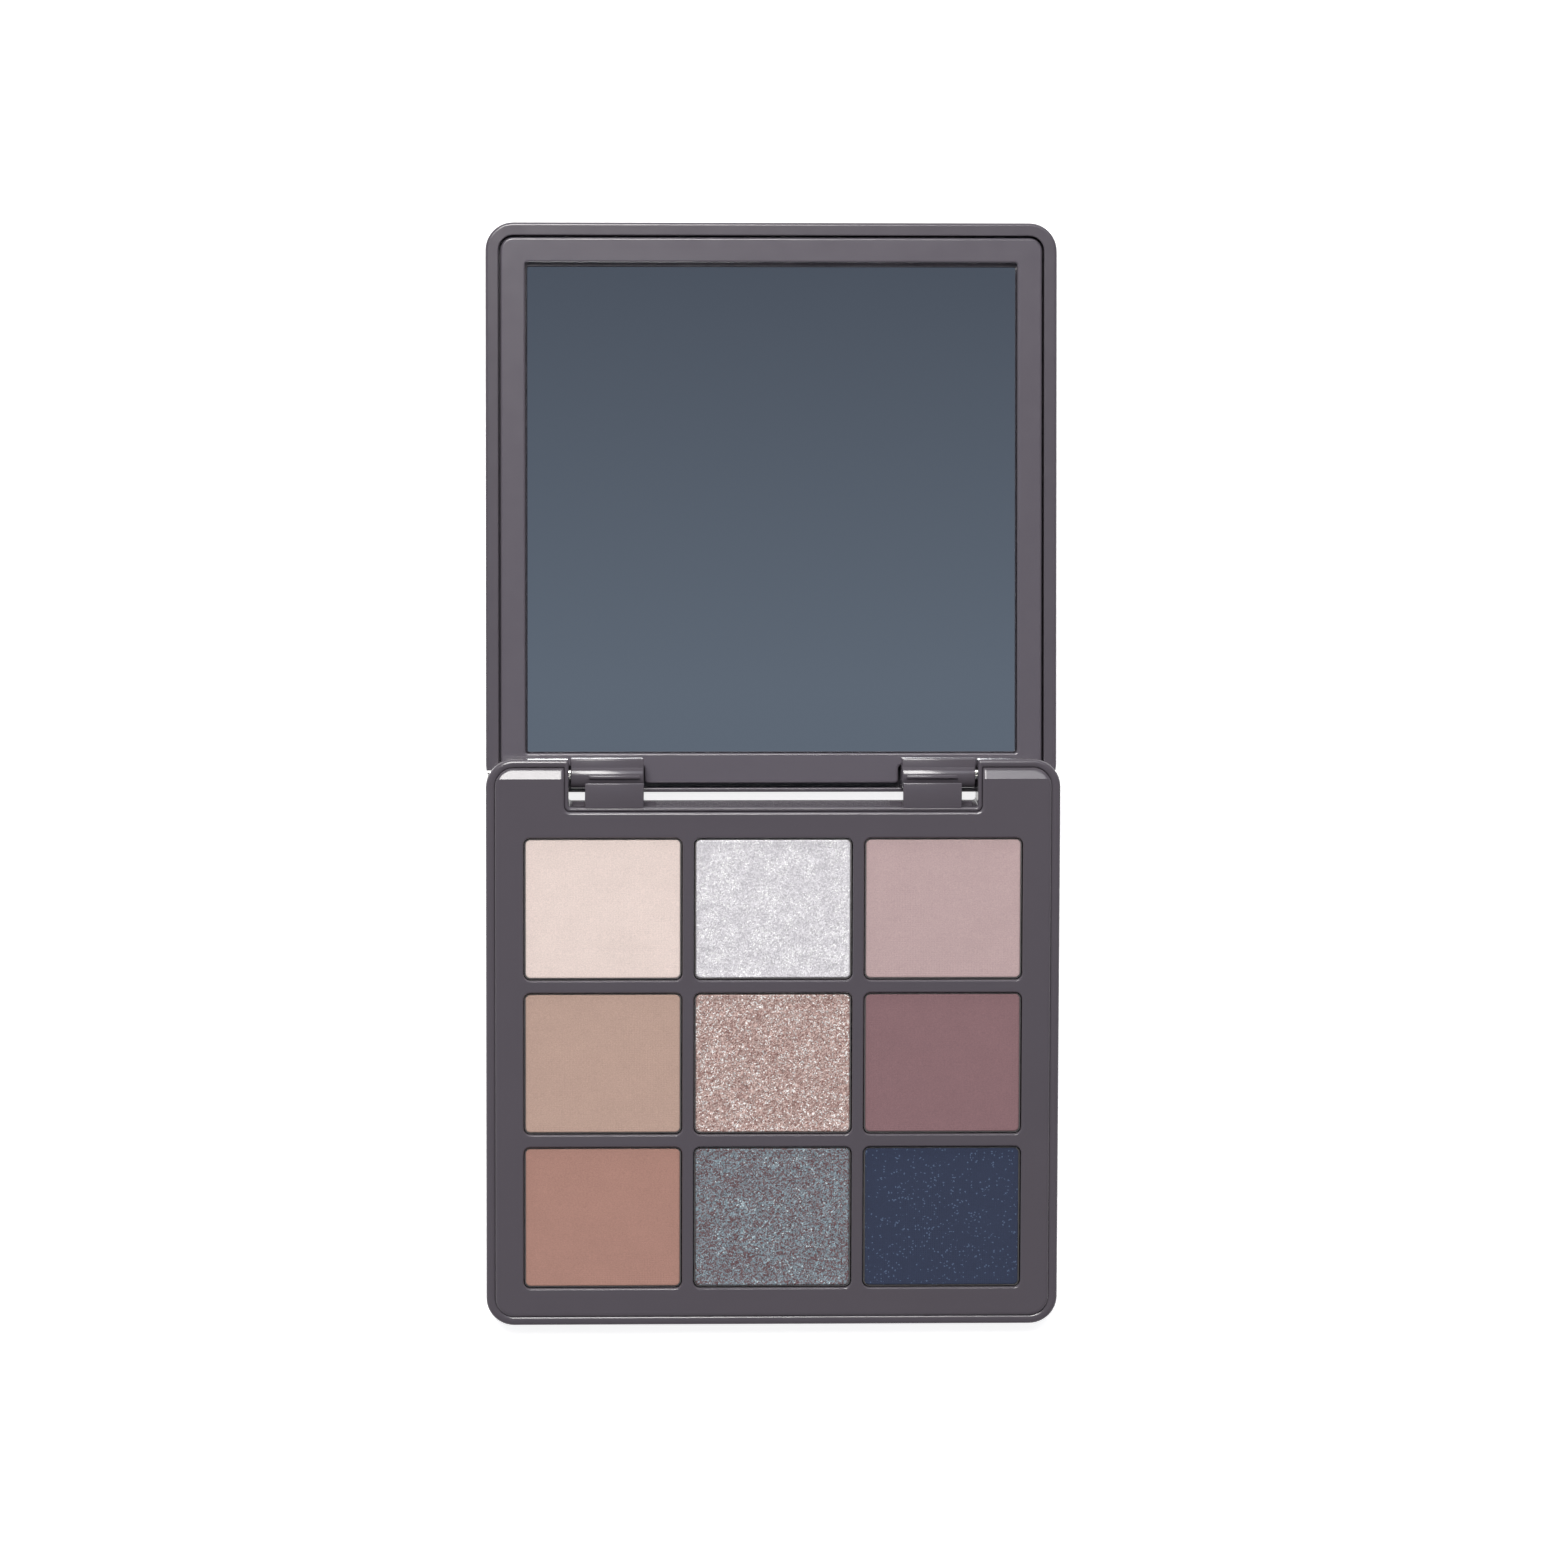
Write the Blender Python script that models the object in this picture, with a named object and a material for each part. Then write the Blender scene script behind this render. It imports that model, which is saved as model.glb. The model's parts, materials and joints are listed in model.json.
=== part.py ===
"""Nine-pan pressed-powder palette with a mirror lid, lying open on its back.

Each half is modelled in its own frame with the hinge axis along X through its origin, +Z out of the
half's open side. The lid reaches along +Y and the base along -Y. Lengths are in millimetres until a
mesh is made. The base leans so that its front edge and the lid's back touch the same table.
"""

import math

import bmesh
import bpy
from mathutils import Vector

MM = 0.001

# Overall sizes
BODY_WIDTH = 90.0
BODY_DEPTH = 89.6
BODY_CORNER = 4.4
BASE_HEIGHT = 7.5
LID_HEIGHT = 5.7
EDGE_ROUND = 0.9
CLOSED_GAP = 0.8

# Hinge
AXIS_INSET = 2.85
EAR_SWING_GAP = 0.108
KNUCKLE_INNER = 20.3
KNUCKLE_WIDTH = 11.4
KNUCKLE_RADIUS = 2.05
KNUCKLE_SIDE_GAP = 0.35
LIP_CLEARANCE = 0.374
LIP_EDGE = 0.28
LIP_STEP = 0.37
LIP_ROUND = 0.3
CAM_RIB_WIDTH = 8.0
CAM_RIB_DEPTH = 0.55
CAM_RIB_RISE = 0.45
PIN_RADIUS = 0.75
PIN_RECESS = 0.3
PIN_REACH = 8.4
EAR_BORE_GAP = 0.05
KNUCKLE_BORE_GAP = 0.12
BORE_END_GAP = 0.4

# Base shell
FLOOR = 1.2
SHELL_WALL = 2.2
RIM_WIDTH = 1.2
REAR_RIM = 1.05
NOTCH_TOP = 4.7
NOTCH_DRAFT = 0.5
NOTCH_CORNER = 0.5
NOTCH_RIM = 0.45
HINGE_BLOCK = 2.4
CAVITY_CORNER = 2.0
TONGUE_WIDTH = 9.2
TONGUE_TIP = 0.9
TONGUE_THICKNESS = 0.7
POCKET_WIDTH = 1.9
POCKET_DEPTH = 0.5
POCKET_ROOF = 1.1
LABEL_WIDTH = 46.0
LABEL_DEPTH = 24.0
LABEL_CORNER = 2.0
LABEL_RECESS = 0.3
LABEL_THICKNESS = 0.15
LABEL_MARGIN = 0.3

# Pan deck
DECK_RISE = 0.4
DECK_PLATE = 1.2
DECK_EDGE = 0.3
GROOVE = 0.25
SEAT_GAP = 0.1
SIDE_MARGIN = 5.87
FRONT_MARGIN = 5.9
REAR_MARGIN = 12.35
BAR_X = 1.78
BAR_Y = 1.96
COLUMNS = 3
ROWS = 3
WELL_CORNER = 1.1
WELL_WALL = 1.2
WELL_FLOOR = 1.2
EAR_SLOPE_START = 0.2
EAR_SLOPE_DROP = 0.55

# Pans and powders
PAN_GAP = 0.15
PAN_SHEET = 0.25
PAN_DROP = 0.9
PAN_BEND = 0.35
POWDER_GAP = 0.05
POWDER_DROP = 0.6
POWDER_BEVEL = 0.4
GLUE_RADIUS = 4.5
GLUE_THICKNESS = 0.2
GLUE_GAP = 0.05

# Lid, mirror and frame
LID_FLOOR = 1.2
LID_RIM_WIDTH = 2.05
LID_REAR_RIM = 0.7
LID_RIM_EDGE = 0.3
FRAME_GAP = 0.3
FRAME_REAR_GAP = 0.7
FRAME_RECESS = 0.2
FRAME_THICKNESS = 3.2
FRAME_EDGE = 0.25
FRAME_RAIL = 3.9
FRAME_REAR_RAIL = 4.75
FRAME_NOTCH_GAP = 0.3
FRAME_NOTCH_FRONT = 1.4
FRAME_NOTCH_CORNER = 0.5
WINDOW_CORNER = 0.35
MIRROR_RECESS = 0.45
MIRROR_THICKNESS = 1.5
MIRROR_SIDE_GAP = 0.2
MIRROR_TOP_GAP = 0.6
MIRROR_BOTTOM_GAP = 0.1
ADHESIVE_THICKNESS = 0.15
ADHESIVE_MARGIN = 1.5
ADHESIVE_GAP = 0.05
STIFFENER_WIDTH = 1.0
STIFFENERS = 3

# Closure magnets
MAGNET_LENGTH = 8.0
MAGNET_DEPTH = 1.8
MAGNET_THICKNESS = 1.4
MAGNET_GAP = 0.1
MAGNET_OFFSET = 22.0
MAGNET_INSET = 4.15
MAGNET_COVER = 1.0

# Faceting
BODY_CORNER_SEGMENTS = 8
SMALL_CORNER_SEGMENTS = 4
EDGE_SEGMENTS = 3
ROUND_SEGMENTS = 20

# Worked out from the sizes above
HALF_WIDTH = BODY_WIDTH / 2
REACH = BODY_DEPTH - AXIS_INSET
# The axis stands as high as an ear's lower corner can be and still swing clear of the lid's rim.
SWING_ROOM = BASE_HEIGHT + CLOSED_GAP - EAR_SWING_GAP
AXIS_HEIGHT = (SWING_ROOM - AXIS_INSET**2 / SWING_ROOM) / 2
BASE_UNDERSIDE = -AXIS_HEIGHT
BASE_FLOOR = BASE_UNDERSIDE + FLOOR
BASE_RIM = BASE_UNDERSIDE + BASE_HEIGHT
DECK_TOP = BASE_RIM + DECK_RISE
DECK_SEAT = DECK_TOP - DECK_PLATE
WELL_UNDERSIDE = BASE_FLOOR + SEAT_GAP
WELL_BOTTOM = WELL_UNDERSIDE + WELL_FLOOR
PAN_UNDERSIDE = WELL_BOTTOM + GLUE_THICKNESS + 2 * GLUE_GAP
PAN_RIM = DECK_TOP - PAN_DROP
LID_RIM = -(BASE_RIM + CLOSED_GAP)
LID_BACK = LID_RIM - LID_HEIGHT
LID_INNER_FLOOR = LID_BACK + LID_FLOOR
FRAME_TOP = LID_RIM - FRAME_RECESS
FRAME_UNDERSIDE = FRAME_TOP - FRAME_THICKNESS
KNUCKLE_OUTER = KNUCKLE_INNER + KNUCKLE_WIDTH
NOTCH_HALF = KNUCKLE_OUTER + KNUCKLE_SIDE_GAP
KNUCKLE_FRONT = TONGUE_TIP - FRAME_NOTCH_GAP
# The lip sweeps past the near lower edge of the tongues.
LIP_SWEEP = math.hypot(TONGUE_TIP, BASE_RIM - TONGUE_THICKNESS) - LIP_CLEARANCE
LIP_REACH = LIP_SWEEP - LIP_EDGE
LIP_TOP = KNUCKLE_RADIUS - LIP_STEP
CAM_RIB_RADIUS = KNUCKLE_RADIUS + CAM_RIB_RISE
WELL_WIDTH = (BODY_WIDTH - 2 * SIDE_MARGIN - (COLUMNS - 1) * BAR_X) / COLUMNS
WELL_DEPTH = (BODY_DEPTH - FRONT_MARGIN - REAR_MARGIN - (ROWS - 1) * BAR_Y) / ROWS
WELLS_REAR = -(REAR_MARGIN - AXIS_INSET)

# name, colour (sRGB hex), roughness, metallic
FINISHES = {
    "base_plastic": ("5A555C", 0.34, 0.0),
    "lid_plastic": ("605B63", 0.34, 0.0),
    "mirror_silver": ("C9D3DA", 0.03, 1.0),
    "pan_tinplate": ("B9BABC", 0.32, 1.0),
    "pin_steel": ("C8C6C4", 0.28, 1.0),
    "magnet_nickel": ("A9A9AA", 0.3, 1.0),
    "hot_glue": ("E6E0CC", 0.4, 0.0),
    "foam_tape": ("F2F1EE", 0.8, 0.0),
    "label_paper": ("2B282C", 0.55, 0.0),
}
POWDERS = (
    ("ivory_matte", "EBD8D1", 0.9, 0.0),
    ("silver_pearl", "DFDDE0", 0.4, 0.4),
    ("dusty_pink_matte", "BFA6A6", 0.9, 0.0),
    ("sand_matte", "BDA092", 0.9, 0.0),
    ("rose_glitter", "BBA5A2", 0.4, 0.4),
    ("mauve_matte", "8D6D71", 0.9, 0.0),
    ("terracotta_matte", "AF8579", 0.9, 0.0),
    ("blue_glitter", "817E85", 0.4, 0.4),
    ("navy_satin", "384055", 0.55, 0.1),
)


def linear(hex_colour):
    """An sRGB hex colour as linear red, green, blue and alpha."""
    parts = [int(hex_colour[i : i + 2], 16) / 255 for i in (0, 2, 4)]
    return [c / 12.92 if c <= 0.04045 else ((c + 0.055) / 1.055) ** 2.4 for c in parts] + [1.0]


def material(name, hex_colour, roughness, metallic):
    made = bpy.data.materials.new(name)
    made.use_nodes = True
    shader = made.node_tree.nodes["Principled BSDF"]
    shader.inputs["Base Color"].default_value = linear(hex_colour)
    shader.inputs["Roughness"].default_value = roughness
    shader.inputs["Metallic"].default_value = metallic
    made.diffuse_color = linear(hex_colour)
    return made


def outline(corners, inset=0.0, segments=SMALL_CORNER_SEGMENTS):
    """Points of an anticlockwise outline with rounded corners (x, y, radius), moved inwards by inset."""
    points = []
    for i, (x, y, radius) in enumerate(corners):
        after_corner = corners[(i + 1) % len(corners)]
        way_in = (Vector((x, y)) - Vector(corners[i - 1][:2])).normalized()
        way_out = (Vector(after_corner[:2]) - Vector((x, y))).normalized()
        left_in = Vector((-way_in.y, way_in.x))
        left_out = Vector((-way_out.y, way_out.x))
        turn = 1.0 if way_in.cross(way_out) > 0 else -1.0
        corner = Vector((x, y)) + inset * (left_in + left_out) / (1 + left_in.dot(left_out))
        arc = max(radius - turn * inset, 0.02)
        angle = way_in.angle(way_out)
        start = corner - way_in * arc * math.tan(angle / 2)
        centre = start + turn * arc * left_in
        for k in range(segments + 1):
            a = turn * angle * k / segments
            spoke = start - centre
            points.append(
                (
                    centre.x + spoke.x * math.cos(a) - spoke.y * math.sin(a),
                    centre.y + spoke.x * math.sin(a) + spoke.y * math.cos(a),
                )
            )
    return points


def rectangle(x_low, x_high, y_low, y_high, radius):
    """Corners of an anticlockwise rectangle with one corner radius."""
    return [
        (x_low, y_low, radius),
        (x_high, y_low, radius),
        (x_high, y_high, radius),
        (x_low, y_high, radius),
    ]


def quarter(radius, segments=EDGE_SEGMENTS):
    """(inset, drop) steps round an edge, from its wall to its flat face."""
    angles = [math.pi / 2 * k / segments for k in range(segments + 1)]
    return [(radius * (1 - math.cos(a)), radius * (1 - math.sin(a))) for a in angles]


def ring(mesh, points, z):
    return [mesh.verts.new((x * MM, y * MM, z * MM)) for x, y in points]


def stack(mesh, levels):
    """Joins one ring of points to the next, and gives back the first and the last ring."""
    rings = [ring(mesh, points, z) for points, z in levels]
    for low, high in zip(rings, rings[1:]):
        for i in range(len(low)):
            j = (i + 1) % len(low)
            mesh.faces.new((low[i], low[j], high[j], high[i]))
    return rings[0], rings[-1]


def cap(mesh, *rings):
    """Fills the flat area inside the first ring and outside the others."""
    edges = []
    for points in rings:
        for i, vert in enumerate(points):
            after = points[(i + 1) % len(points)]
            edges.append(mesh.edges.get((vert, after)) or mesh.edges.new((vert, after)))
    bmesh.ops.triangle_fill(mesh, use_beauty=True, edges=edges)


def close_up(mesh, name):
    """Turns a finished bmesh into an object with its faces pointing out."""
    bmesh.ops.recalc_face_normals(mesh, faces=mesh.faces[:])
    data = bpy.data.meshes.new(name)
    mesh.to_mesh(data)
    mesh.free()
    data.shade_smooth()
    data.set_sharp_from_angle(angle=math.radians(32))
    made = bpy.data.objects.new(name, data)
    bpy.context.scene.collection.objects.link(made)
    return made


def prism(name, corners, z_low, z_high, segments=SMALL_CORNER_SEGMENTS):
    """A straight-sided solid of one outline."""
    mesh = bmesh.new()
    points = outline(corners, 0.0, segments)
    low, high = stack(mesh, [(points, z_low), (points, z_high)])
    cap(mesh, low)
    cap(mesh, high)
    return close_up(mesh, name)


def boxes(name, spans):
    """One object of plain boxes, each given as (low x, high x, low y, high y, low z, high z)."""
    mesh = bmesh.new()
    for x_low, x_high, y_low, y_high, z_low, z_high in spans:
        made = bmesh.ops.create_cube(mesh, size=MM)["verts"]
        size = (x_high - x_low, y_high - y_low, z_high - z_low)
        centre = Vector((x_low + x_high, y_low + y_high, z_low + z_high)) * MM / 2
        bmesh.ops.scale(mesh, vec=size, verts=made)
        bmesh.ops.translate(mesh, vec=centre, verts=made)
    return close_up(mesh, name)


def rods(name, spans, radius):
    """One object of round rods along X, each given as (low x, high x)."""
    angles = [2 * math.pi * k / ROUND_SEGMENTS for k in range(ROUND_SEGMENTS)]
    return along_x(name, [(radius * math.cos(a), radius * math.sin(a)) for a in angles], spans)


def along_x(name, profile, spans):
    """One object of bars along X with one (y, z) profile, each given as (low x, high x)."""
    mesh = bmesh.new()
    for x_low, x_high in spans:
        ends = [[mesh.verts.new((x * MM, y * MM, z * MM)) for y, z in profile] for x in (x_low, x_high)]
        for i in range(len(profile)):
            j = (i + 1) % len(profile)
            mesh.faces.new((ends[0][i], ends[0][j], ends[1][j], ends[1][i]))
        mesh.faces.new(ends[0])
        mesh.faces.new(ends[1])
    return close_up(mesh, name)


def use(target, helper, operation):
    """Joins a helper to the target, or cuts it away, with an exact Boolean."""
    helper.hide_render = True
    helper.display_type = "WIRE"
    modifier = target.modifiers.new(helper.name, "BOOLEAN")
    modifier.operation = operation
    modifier.solver = "EXACT"
    modifier.object = helper


def both_sides(low, high):
    """A span in +X and its mirror image in -X."""
    return [(low, high), (-high, -low)]


def dress(made, finish, parent):
    made.data.materials.append(finish)
    made.parent = parent
    return made


def notched(corner, inset, notch_y, notch_inset, rear, side_radius, notch_radius):
    """Outline of the base or of its deck: a square with the hinge notch between two ears at its rear."""
    side = HALF_WIDTH - inset
    notch = NOTCH_HALF + notch_inset
    ear = min(side_radius, (side - notch) / 2)
    return [
        (-side, -(REACH - inset), corner),
        (side, -(REACH - inset), corner),
        (side, rear, ear),
        (notch, rear, notch_radius),
        (notch, notch_y, notch_radius),
        (-notch, notch_y, notch_radius),
        (-notch, rear, notch_radius),
        (-side, rear, ear),
    ]


def shell_outline(z, inset=0.0):
    """The base shell's outside at a height: the notch's front wall leans back towards the top."""
    share = (z - BASE_UNDERSIDE) / BASE_HEIGHT
    notch_y = -(NOTCH_TOP - NOTCH_DRAFT * (1 - share))
    corners = notched(BODY_CORNER, 0.0, notch_y, 0.0, AXIS_INSET, BODY_CORNER, NOTCH_CORNER)
    return outline(corners, inset, BODY_CORNER_SEGMENTS)


def deck_outline(gap, inset=0.0):
    """The deck's outside, larger by gap all round: the same lines cut the recess that it sits in."""
    corners = notched(
        BODY_CORNER - RIM_WIDTH - GROOVE,
        RIM_WIDTH + GROOVE,
        -(NOTCH_TOP + NOTCH_RIM + GROOVE),
        NOTCH_RIM + GROOVE,
        AXIS_INSET - REAR_RIM - GROOVE,
        BODY_CORNER - RIM_WIDTH - GROOVE,
        NOTCH_CORNER + NOTCH_RIM,
    )
    return outline(corners, inset - gap, BODY_CORNER_SEGMENTS)


def well_spans():
    """(row, column, low x, high x, low y, high y) of each well, from the hinge side forwards."""
    for row in range(ROWS):
        for column in range(COLUMNS):
            x = -HALF_WIDTH + SIDE_MARGIN + column * (WELL_WIDTH + BAR_X)
            y = WELLS_REAR - row * (WELL_DEPTH + BAR_Y)
            yield row, column, x, x + WELL_WIDTH, y - WELL_DEPTH, y


def base_shell():
    mesh = bmesh.new()
    levels = []
    for inset, drop in reversed(quarter(EDGE_ROUND)):
        z = BASE_UNDERSIDE + drop
        levels.append((shell_outline(z, inset), z))
    for inset, drop in quarter(EDGE_ROUND):
        z = BASE_RIM - drop
        levels.append((shell_outline(z, min(inset, NOTCH_RIM / 2)), z))
    underside, rim = stack(mesh, levels)
    seat_z = DECK_SEAT - SEAT_GAP
    seat_top, seat = stack(mesh, [(deck_outline(GROOVE), BASE_RIM), (deck_outline(GROOVE), seat_z)])
    cap(mesh, rim, seat_top)
    cavity = rectangle(
        -(HALF_WIDTH - SHELL_WALL),
        HALF_WIDTH - SHELL_WALL,
        -(REACH - SHELL_WALL),
        -(NOTCH_TOP + HINGE_BLOCK),
        CAVITY_CORNER,
    )
    mouth, floor = stack(mesh, [(outline(cavity), seat_z), (outline(cavity), BASE_FLOOR)])
    cap(mesh, seat, mouth)
    cap(mesh, floor)
    recess = outline(label_corners(LABEL_MARGIN))
    edge, roof = stack(mesh, [(recess, BASE_UNDERSIDE), (recess, BASE_UNDERSIDE + LABEL_RECESS)])
    cap(mesh, underside, edge)
    cap(mesh, roof)
    shell = close_up(mesh, "base_shell")

    tongue_outer = KNUCKLE_INNER + TONGUE_WIDTH
    tongue_root = NOTCH_TOP + NOTCH_RIM / 2
    tongues = boxes(
        "tongue_helper",
        [
            (x_low, x_high, -tongue_root, -TONGUE_TIP, BASE_RIM - TONGUE_THICKNESS, BASE_RIM)
            for x_low, x_high in both_sides(KNUCKLE_INNER, tongue_outer)
        ],
    )
    use(shell, tongues, "UNION")
    pocket_back = -(NOTCH_TOP + POCKET_DEPTH)
    pocket_top = BASE_RIM - POCKET_ROOF
    spans = both_sides(tongue_outer, tongue_outer + POCKET_WIDTH)
    spans += both_sides(KNUCKLE_INNER - POCKET_WIDTH, KNUCKLE_INNER)
    pockets = boxes(
        "pocket_cutter",
        [(a, b, pocket_back, -TONGUE_TIP, BASE_UNDERSIDE - 1, pocket_top) for a, b in spans],
    )
    use(shell, pockets, "DIFFERENCE")
    bores = rods(
        "ear_bore_cutter", both_sides(NOTCH_HALF - 1, HALF_WIDTH + 1), PIN_RADIUS + EAR_BORE_GAP
    )
    use(shell, bores, "DIFFERENCE")
    return shell, (tongues, pockets, bores)


def label_corners(margin=0.0):
    centre = -REACH / 2
    return rectangle(
        -LABEL_WIDTH / 2 - margin,
        LABEL_WIDTH / 2 + margin,
        centre - LABEL_DEPTH / 2 - margin,
        centre + LABEL_DEPTH / 2 + margin,
        LABEL_CORNER,
    )


def magnet_spans(side, gap):
    """The two magnet bars of a half: side is -1 for the base and 1 for the lid."""
    middle = side * (REACH - MAGNET_INSET)
    deep = MAGNET_DEPTH / 2 + gap
    for x_low, x_high in both_sides(MAGNET_OFFSET, MAGNET_OFFSET + MAGNET_LENGTH):
        yield x_low - gap, x_high + gap, middle - deep, middle + deep


def pan_deck():
    mesh = bmesh.new()
    levels = [(deck_outline(0.0), DECK_SEAT)]
    levels += [(deck_outline(0.0, inset), DECK_TOP - drop) for inset, drop in quarter(DECK_EDGE)]
    plate_edge, top = stack(mesh, levels)
    block = outline(
        rectangle(
            -(HALF_WIDTH - SIDE_MARGIN + WELL_WALL),
            HALF_WIDTH - SIDE_MARGIN + WELL_WALL,
            -(REACH - SHELL_WALL - FRAME_GAP),
            WELLS_REAR + WELL_WALL,
            WELL_CORNER,
        )
    )
    shoulder, underside = stack(mesh, [(block, DECK_SEAT), (block, WELL_UNDERSIDE)])
    cap(mesh, plate_edge, shoulder)
    mouths = []
    for _, _, x_low, x_high, y_low, y_high in well_spans():
        corners = rectangle(x_low, x_high, y_low, y_high, WELL_CORNER)
        levels = [(outline(corners, -inset), DECK_TOP - drop) for inset, drop in reversed(quarter(DECK_EDGE))]
        levels.append((outline(corners), WELL_BOTTOM))
        mouth, bottom = stack(mesh, levels)
        mouths.append(mouth)
        cap(mesh, bottom)
    cap(mesh, top, *mouths)
    pockets = []
    for x_low, x_high, y_low, y_high in magnet_spans(-1, MAGNET_GAP):
        corners = outline(rectangle(x_low, x_high, y_low, y_high, MAGNET_GAP))
        pocket, roof = stack(mesh, [(corners, WELL_UNDERSIDE), (corners, DECK_TOP - MAGNET_COVER)])
        pockets.append(pocket)
        cap(mesh, roof)
    cap(mesh, underside, *pockets)
    deck = close_up(mesh, "pan_deck")

    rear = AXIS_INSET - REAR_RIM - GROOVE
    fall = EAR_SLOPE_DROP / (rear + EAR_SLOPE_START)
    over = 1.0
    slope = [
        (-EAR_SLOPE_START - over, DECK_TOP + fall * over),
        (rear + over, DECK_TOP - EAR_SLOPE_DROP - fall * over),
        (rear + over, DECK_TOP + 2 * over),
        (-EAR_SLOPE_START - over, DECK_TOP + 2 * over),
    ]
    wedge = along_x("ear_slope_cutter", slope, [(-HALF_WIDTH, HALF_WIDTH)])
    use(deck, wedge, "DIFFERENCE")
    return deck, (wedge,)


def pan(name, corners):
    """A pressed cup of thin sheet, open at the top."""
    mesh = bmesh.new()
    levels = [
        (outline(corners, PAN_BEND), PAN_UNDERSIDE),
        (outline(corners), PAN_UNDERSIDE + PAN_BEND),
        (outline(corners), PAN_RIM),
        (outline(corners, PAN_SHEET), PAN_RIM),
        (outline(corners, PAN_SHEET), PAN_UNDERSIDE + PAN_SHEET),
    ]
    outside, inside = stack(mesh, levels)
    cap(mesh, outside)
    cap(mesh, inside)
    return close_up(mesh, name)


def powder(name, corners):
    """A pressed cake that fills its pan and stands a little above the pan's rim."""
    mesh = bmesh.new()
    top = DECK_TOP - POWDER_DROP
    levels = [
        (outline(corners), PAN_UNDERSIDE + PAN_SHEET + POWDER_GAP),
        (outline(corners), top - POWDER_BEVEL),
        (outline(corners, POWDER_BEVEL), top),
    ]
    low, high = stack(mesh, levels)
    cap(mesh, low)
    cap(mesh, high)
    return close_up(mesh, name)


def disc(name, x, y, radius, z_low, z_high):
    mesh = bmesh.new()
    angles = [2 * math.pi * k / ROUND_SEGMENTS for k in range(ROUND_SEGMENTS)]
    points = [(x + radius * math.cos(a), y + radius * math.sin(a)) for a in angles]
    low, high = stack(mesh, [(points, z_low), (points, z_high)])
    cap(mesh, low)
    cap(mesh, high)
    return close_up(mesh, name)


def knuckle_profile():
    """The (y, z) outline of a knuckle: a column out of the lid, a barrel on the axis and a lip in front."""
    rear_foot = AXIS_INSET - LID_REAR_RIM / 2
    foot = LID_INNER_FLOOR - LID_FLOOR / 3
    points = [(KNUCKLE_FRONT, foot)]
    low = -math.acos(KNUCKLE_FRONT / LIP_SWEEP)
    high = -math.acos(LIP_REACH / LIP_SWEEP)
    steps = 2 * SMALL_CORNER_SEGMENTS
    for k in range(steps + 1):
        a = low + (high - low) * k / steps
        points.append((LIP_SWEEP * math.cos(a), LIP_SWEEP * math.sin(a)))
    for k in range(SMALL_CORNER_SEGMENTS + 1):
        a = math.pi / 2 * k / SMALL_CORNER_SEGMENTS
        y = LIP_REACH - LIP_ROUND * (1 - math.cos(a))
        points.append((y, LIP_TOP - LIP_ROUND * (1 - math.sin(a))))
    start = math.asin(LIP_TOP / KNUCKLE_RADIUS)
    for k in range(ROUND_SEGMENTS // 2 + 1):
        a = start + (math.pi - start) * k / (ROUND_SEGMENTS // 2)
        points.append((KNUCKLE_RADIUS * math.cos(a), KNUCKLE_RADIUS * math.sin(a)))
    points.append((-KNUCKLE_RADIUS, LID_RIM - FRAME_RECESS))
    points.append((-rear_foot, LID_RIM - FRAME_RECESS - (rear_foot - KNUCKLE_RADIUS)))
    points.append((-rear_foot, foot))
    return points


def lid_shell():
    mesh = bmesh.new()
    corners = rectangle(-HALF_WIDTH, HALF_WIDTH, -AXIS_INSET, REACH, BODY_CORNER)
    levels = []
    for inset, drop in reversed(quarter(EDGE_ROUND)):
        levels.append((outline(corners, inset, BODY_CORNER_SEGMENTS), LID_BACK + drop))
    for inset, drop in quarter(LID_RIM_EDGE):
        levels.append((outline(corners, inset, BODY_CORNER_SEGMENTS), LID_RIM - drop))
    back, rim = stack(mesh, levels)
    cap(mesh, back)
    recess = outline(frame_recess_corners(), 0.0, BODY_CORNER_SEGMENTS)
    mouth, floor = stack(mesh, [(recess, LID_RIM), (recess, LID_INNER_FLOOR)])
    cap(mesh, rim, mouth)
    cap(mesh, floor)
    shell = close_up(mesh, "lid_shell")

    knuckle_spans = both_sides(KNUCKLE_INNER, KNUCKLE_OUTER)
    knuckles = along_x("knuckle_helper", knuckle_profile(), knuckle_spans)
    use(shell, knuckles, "UNION")
    rib_middle = KNUCKLE_INNER + TONGUE_WIDTH / 2
    rib_spans = both_sides(rib_middle - CAM_RIB_WIDTH / 2, rib_middle + CAM_RIB_WIDTH / 2)
    ribs = boxes(
        "cam_rib_helper",
        [(a, b, -CAM_RIB_DEPTH, 0.0, KNUCKLE_RADIUS / 2, CAM_RIB_RADIUS) for a, b in rib_spans],
    )
    use(shell, ribs, "UNION")
    bar_low = LID_INNER_FLOOR - LID_FLOOR / 3
    bar_high = FRAME_UNDERSIDE - SEAT_GAP
    half_bar = STIFFENER_WIDTH / 2
    spans = []
    for k in range(STIFFENERS):
        y = REACH * (k + 1) / (STIFFENERS + 1)
        reach_x = HALF_WIDTH - LID_RIM_WIDTH - FRAME_GAP
        spans.append((-reach_x, reach_x, y - half_bar, y + half_bar, bar_low, bar_high))
    stiffeners = boxes("stiffener_helper", spans)
    use(shell, stiffeners, "UNION")
    bore_end = KNUCKLE_OUTER - PIN_REACH - BORE_END_GAP
    bores = rods(
        "knuckle_bore_cutter", both_sides(bore_end, KNUCKLE_OUTER + 1), PIN_RADIUS + KNUCKLE_BORE_GAP
    )
    use(shell, bores, "DIFFERENCE")
    return shell, (knuckles, ribs, stiffeners, bores)


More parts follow.
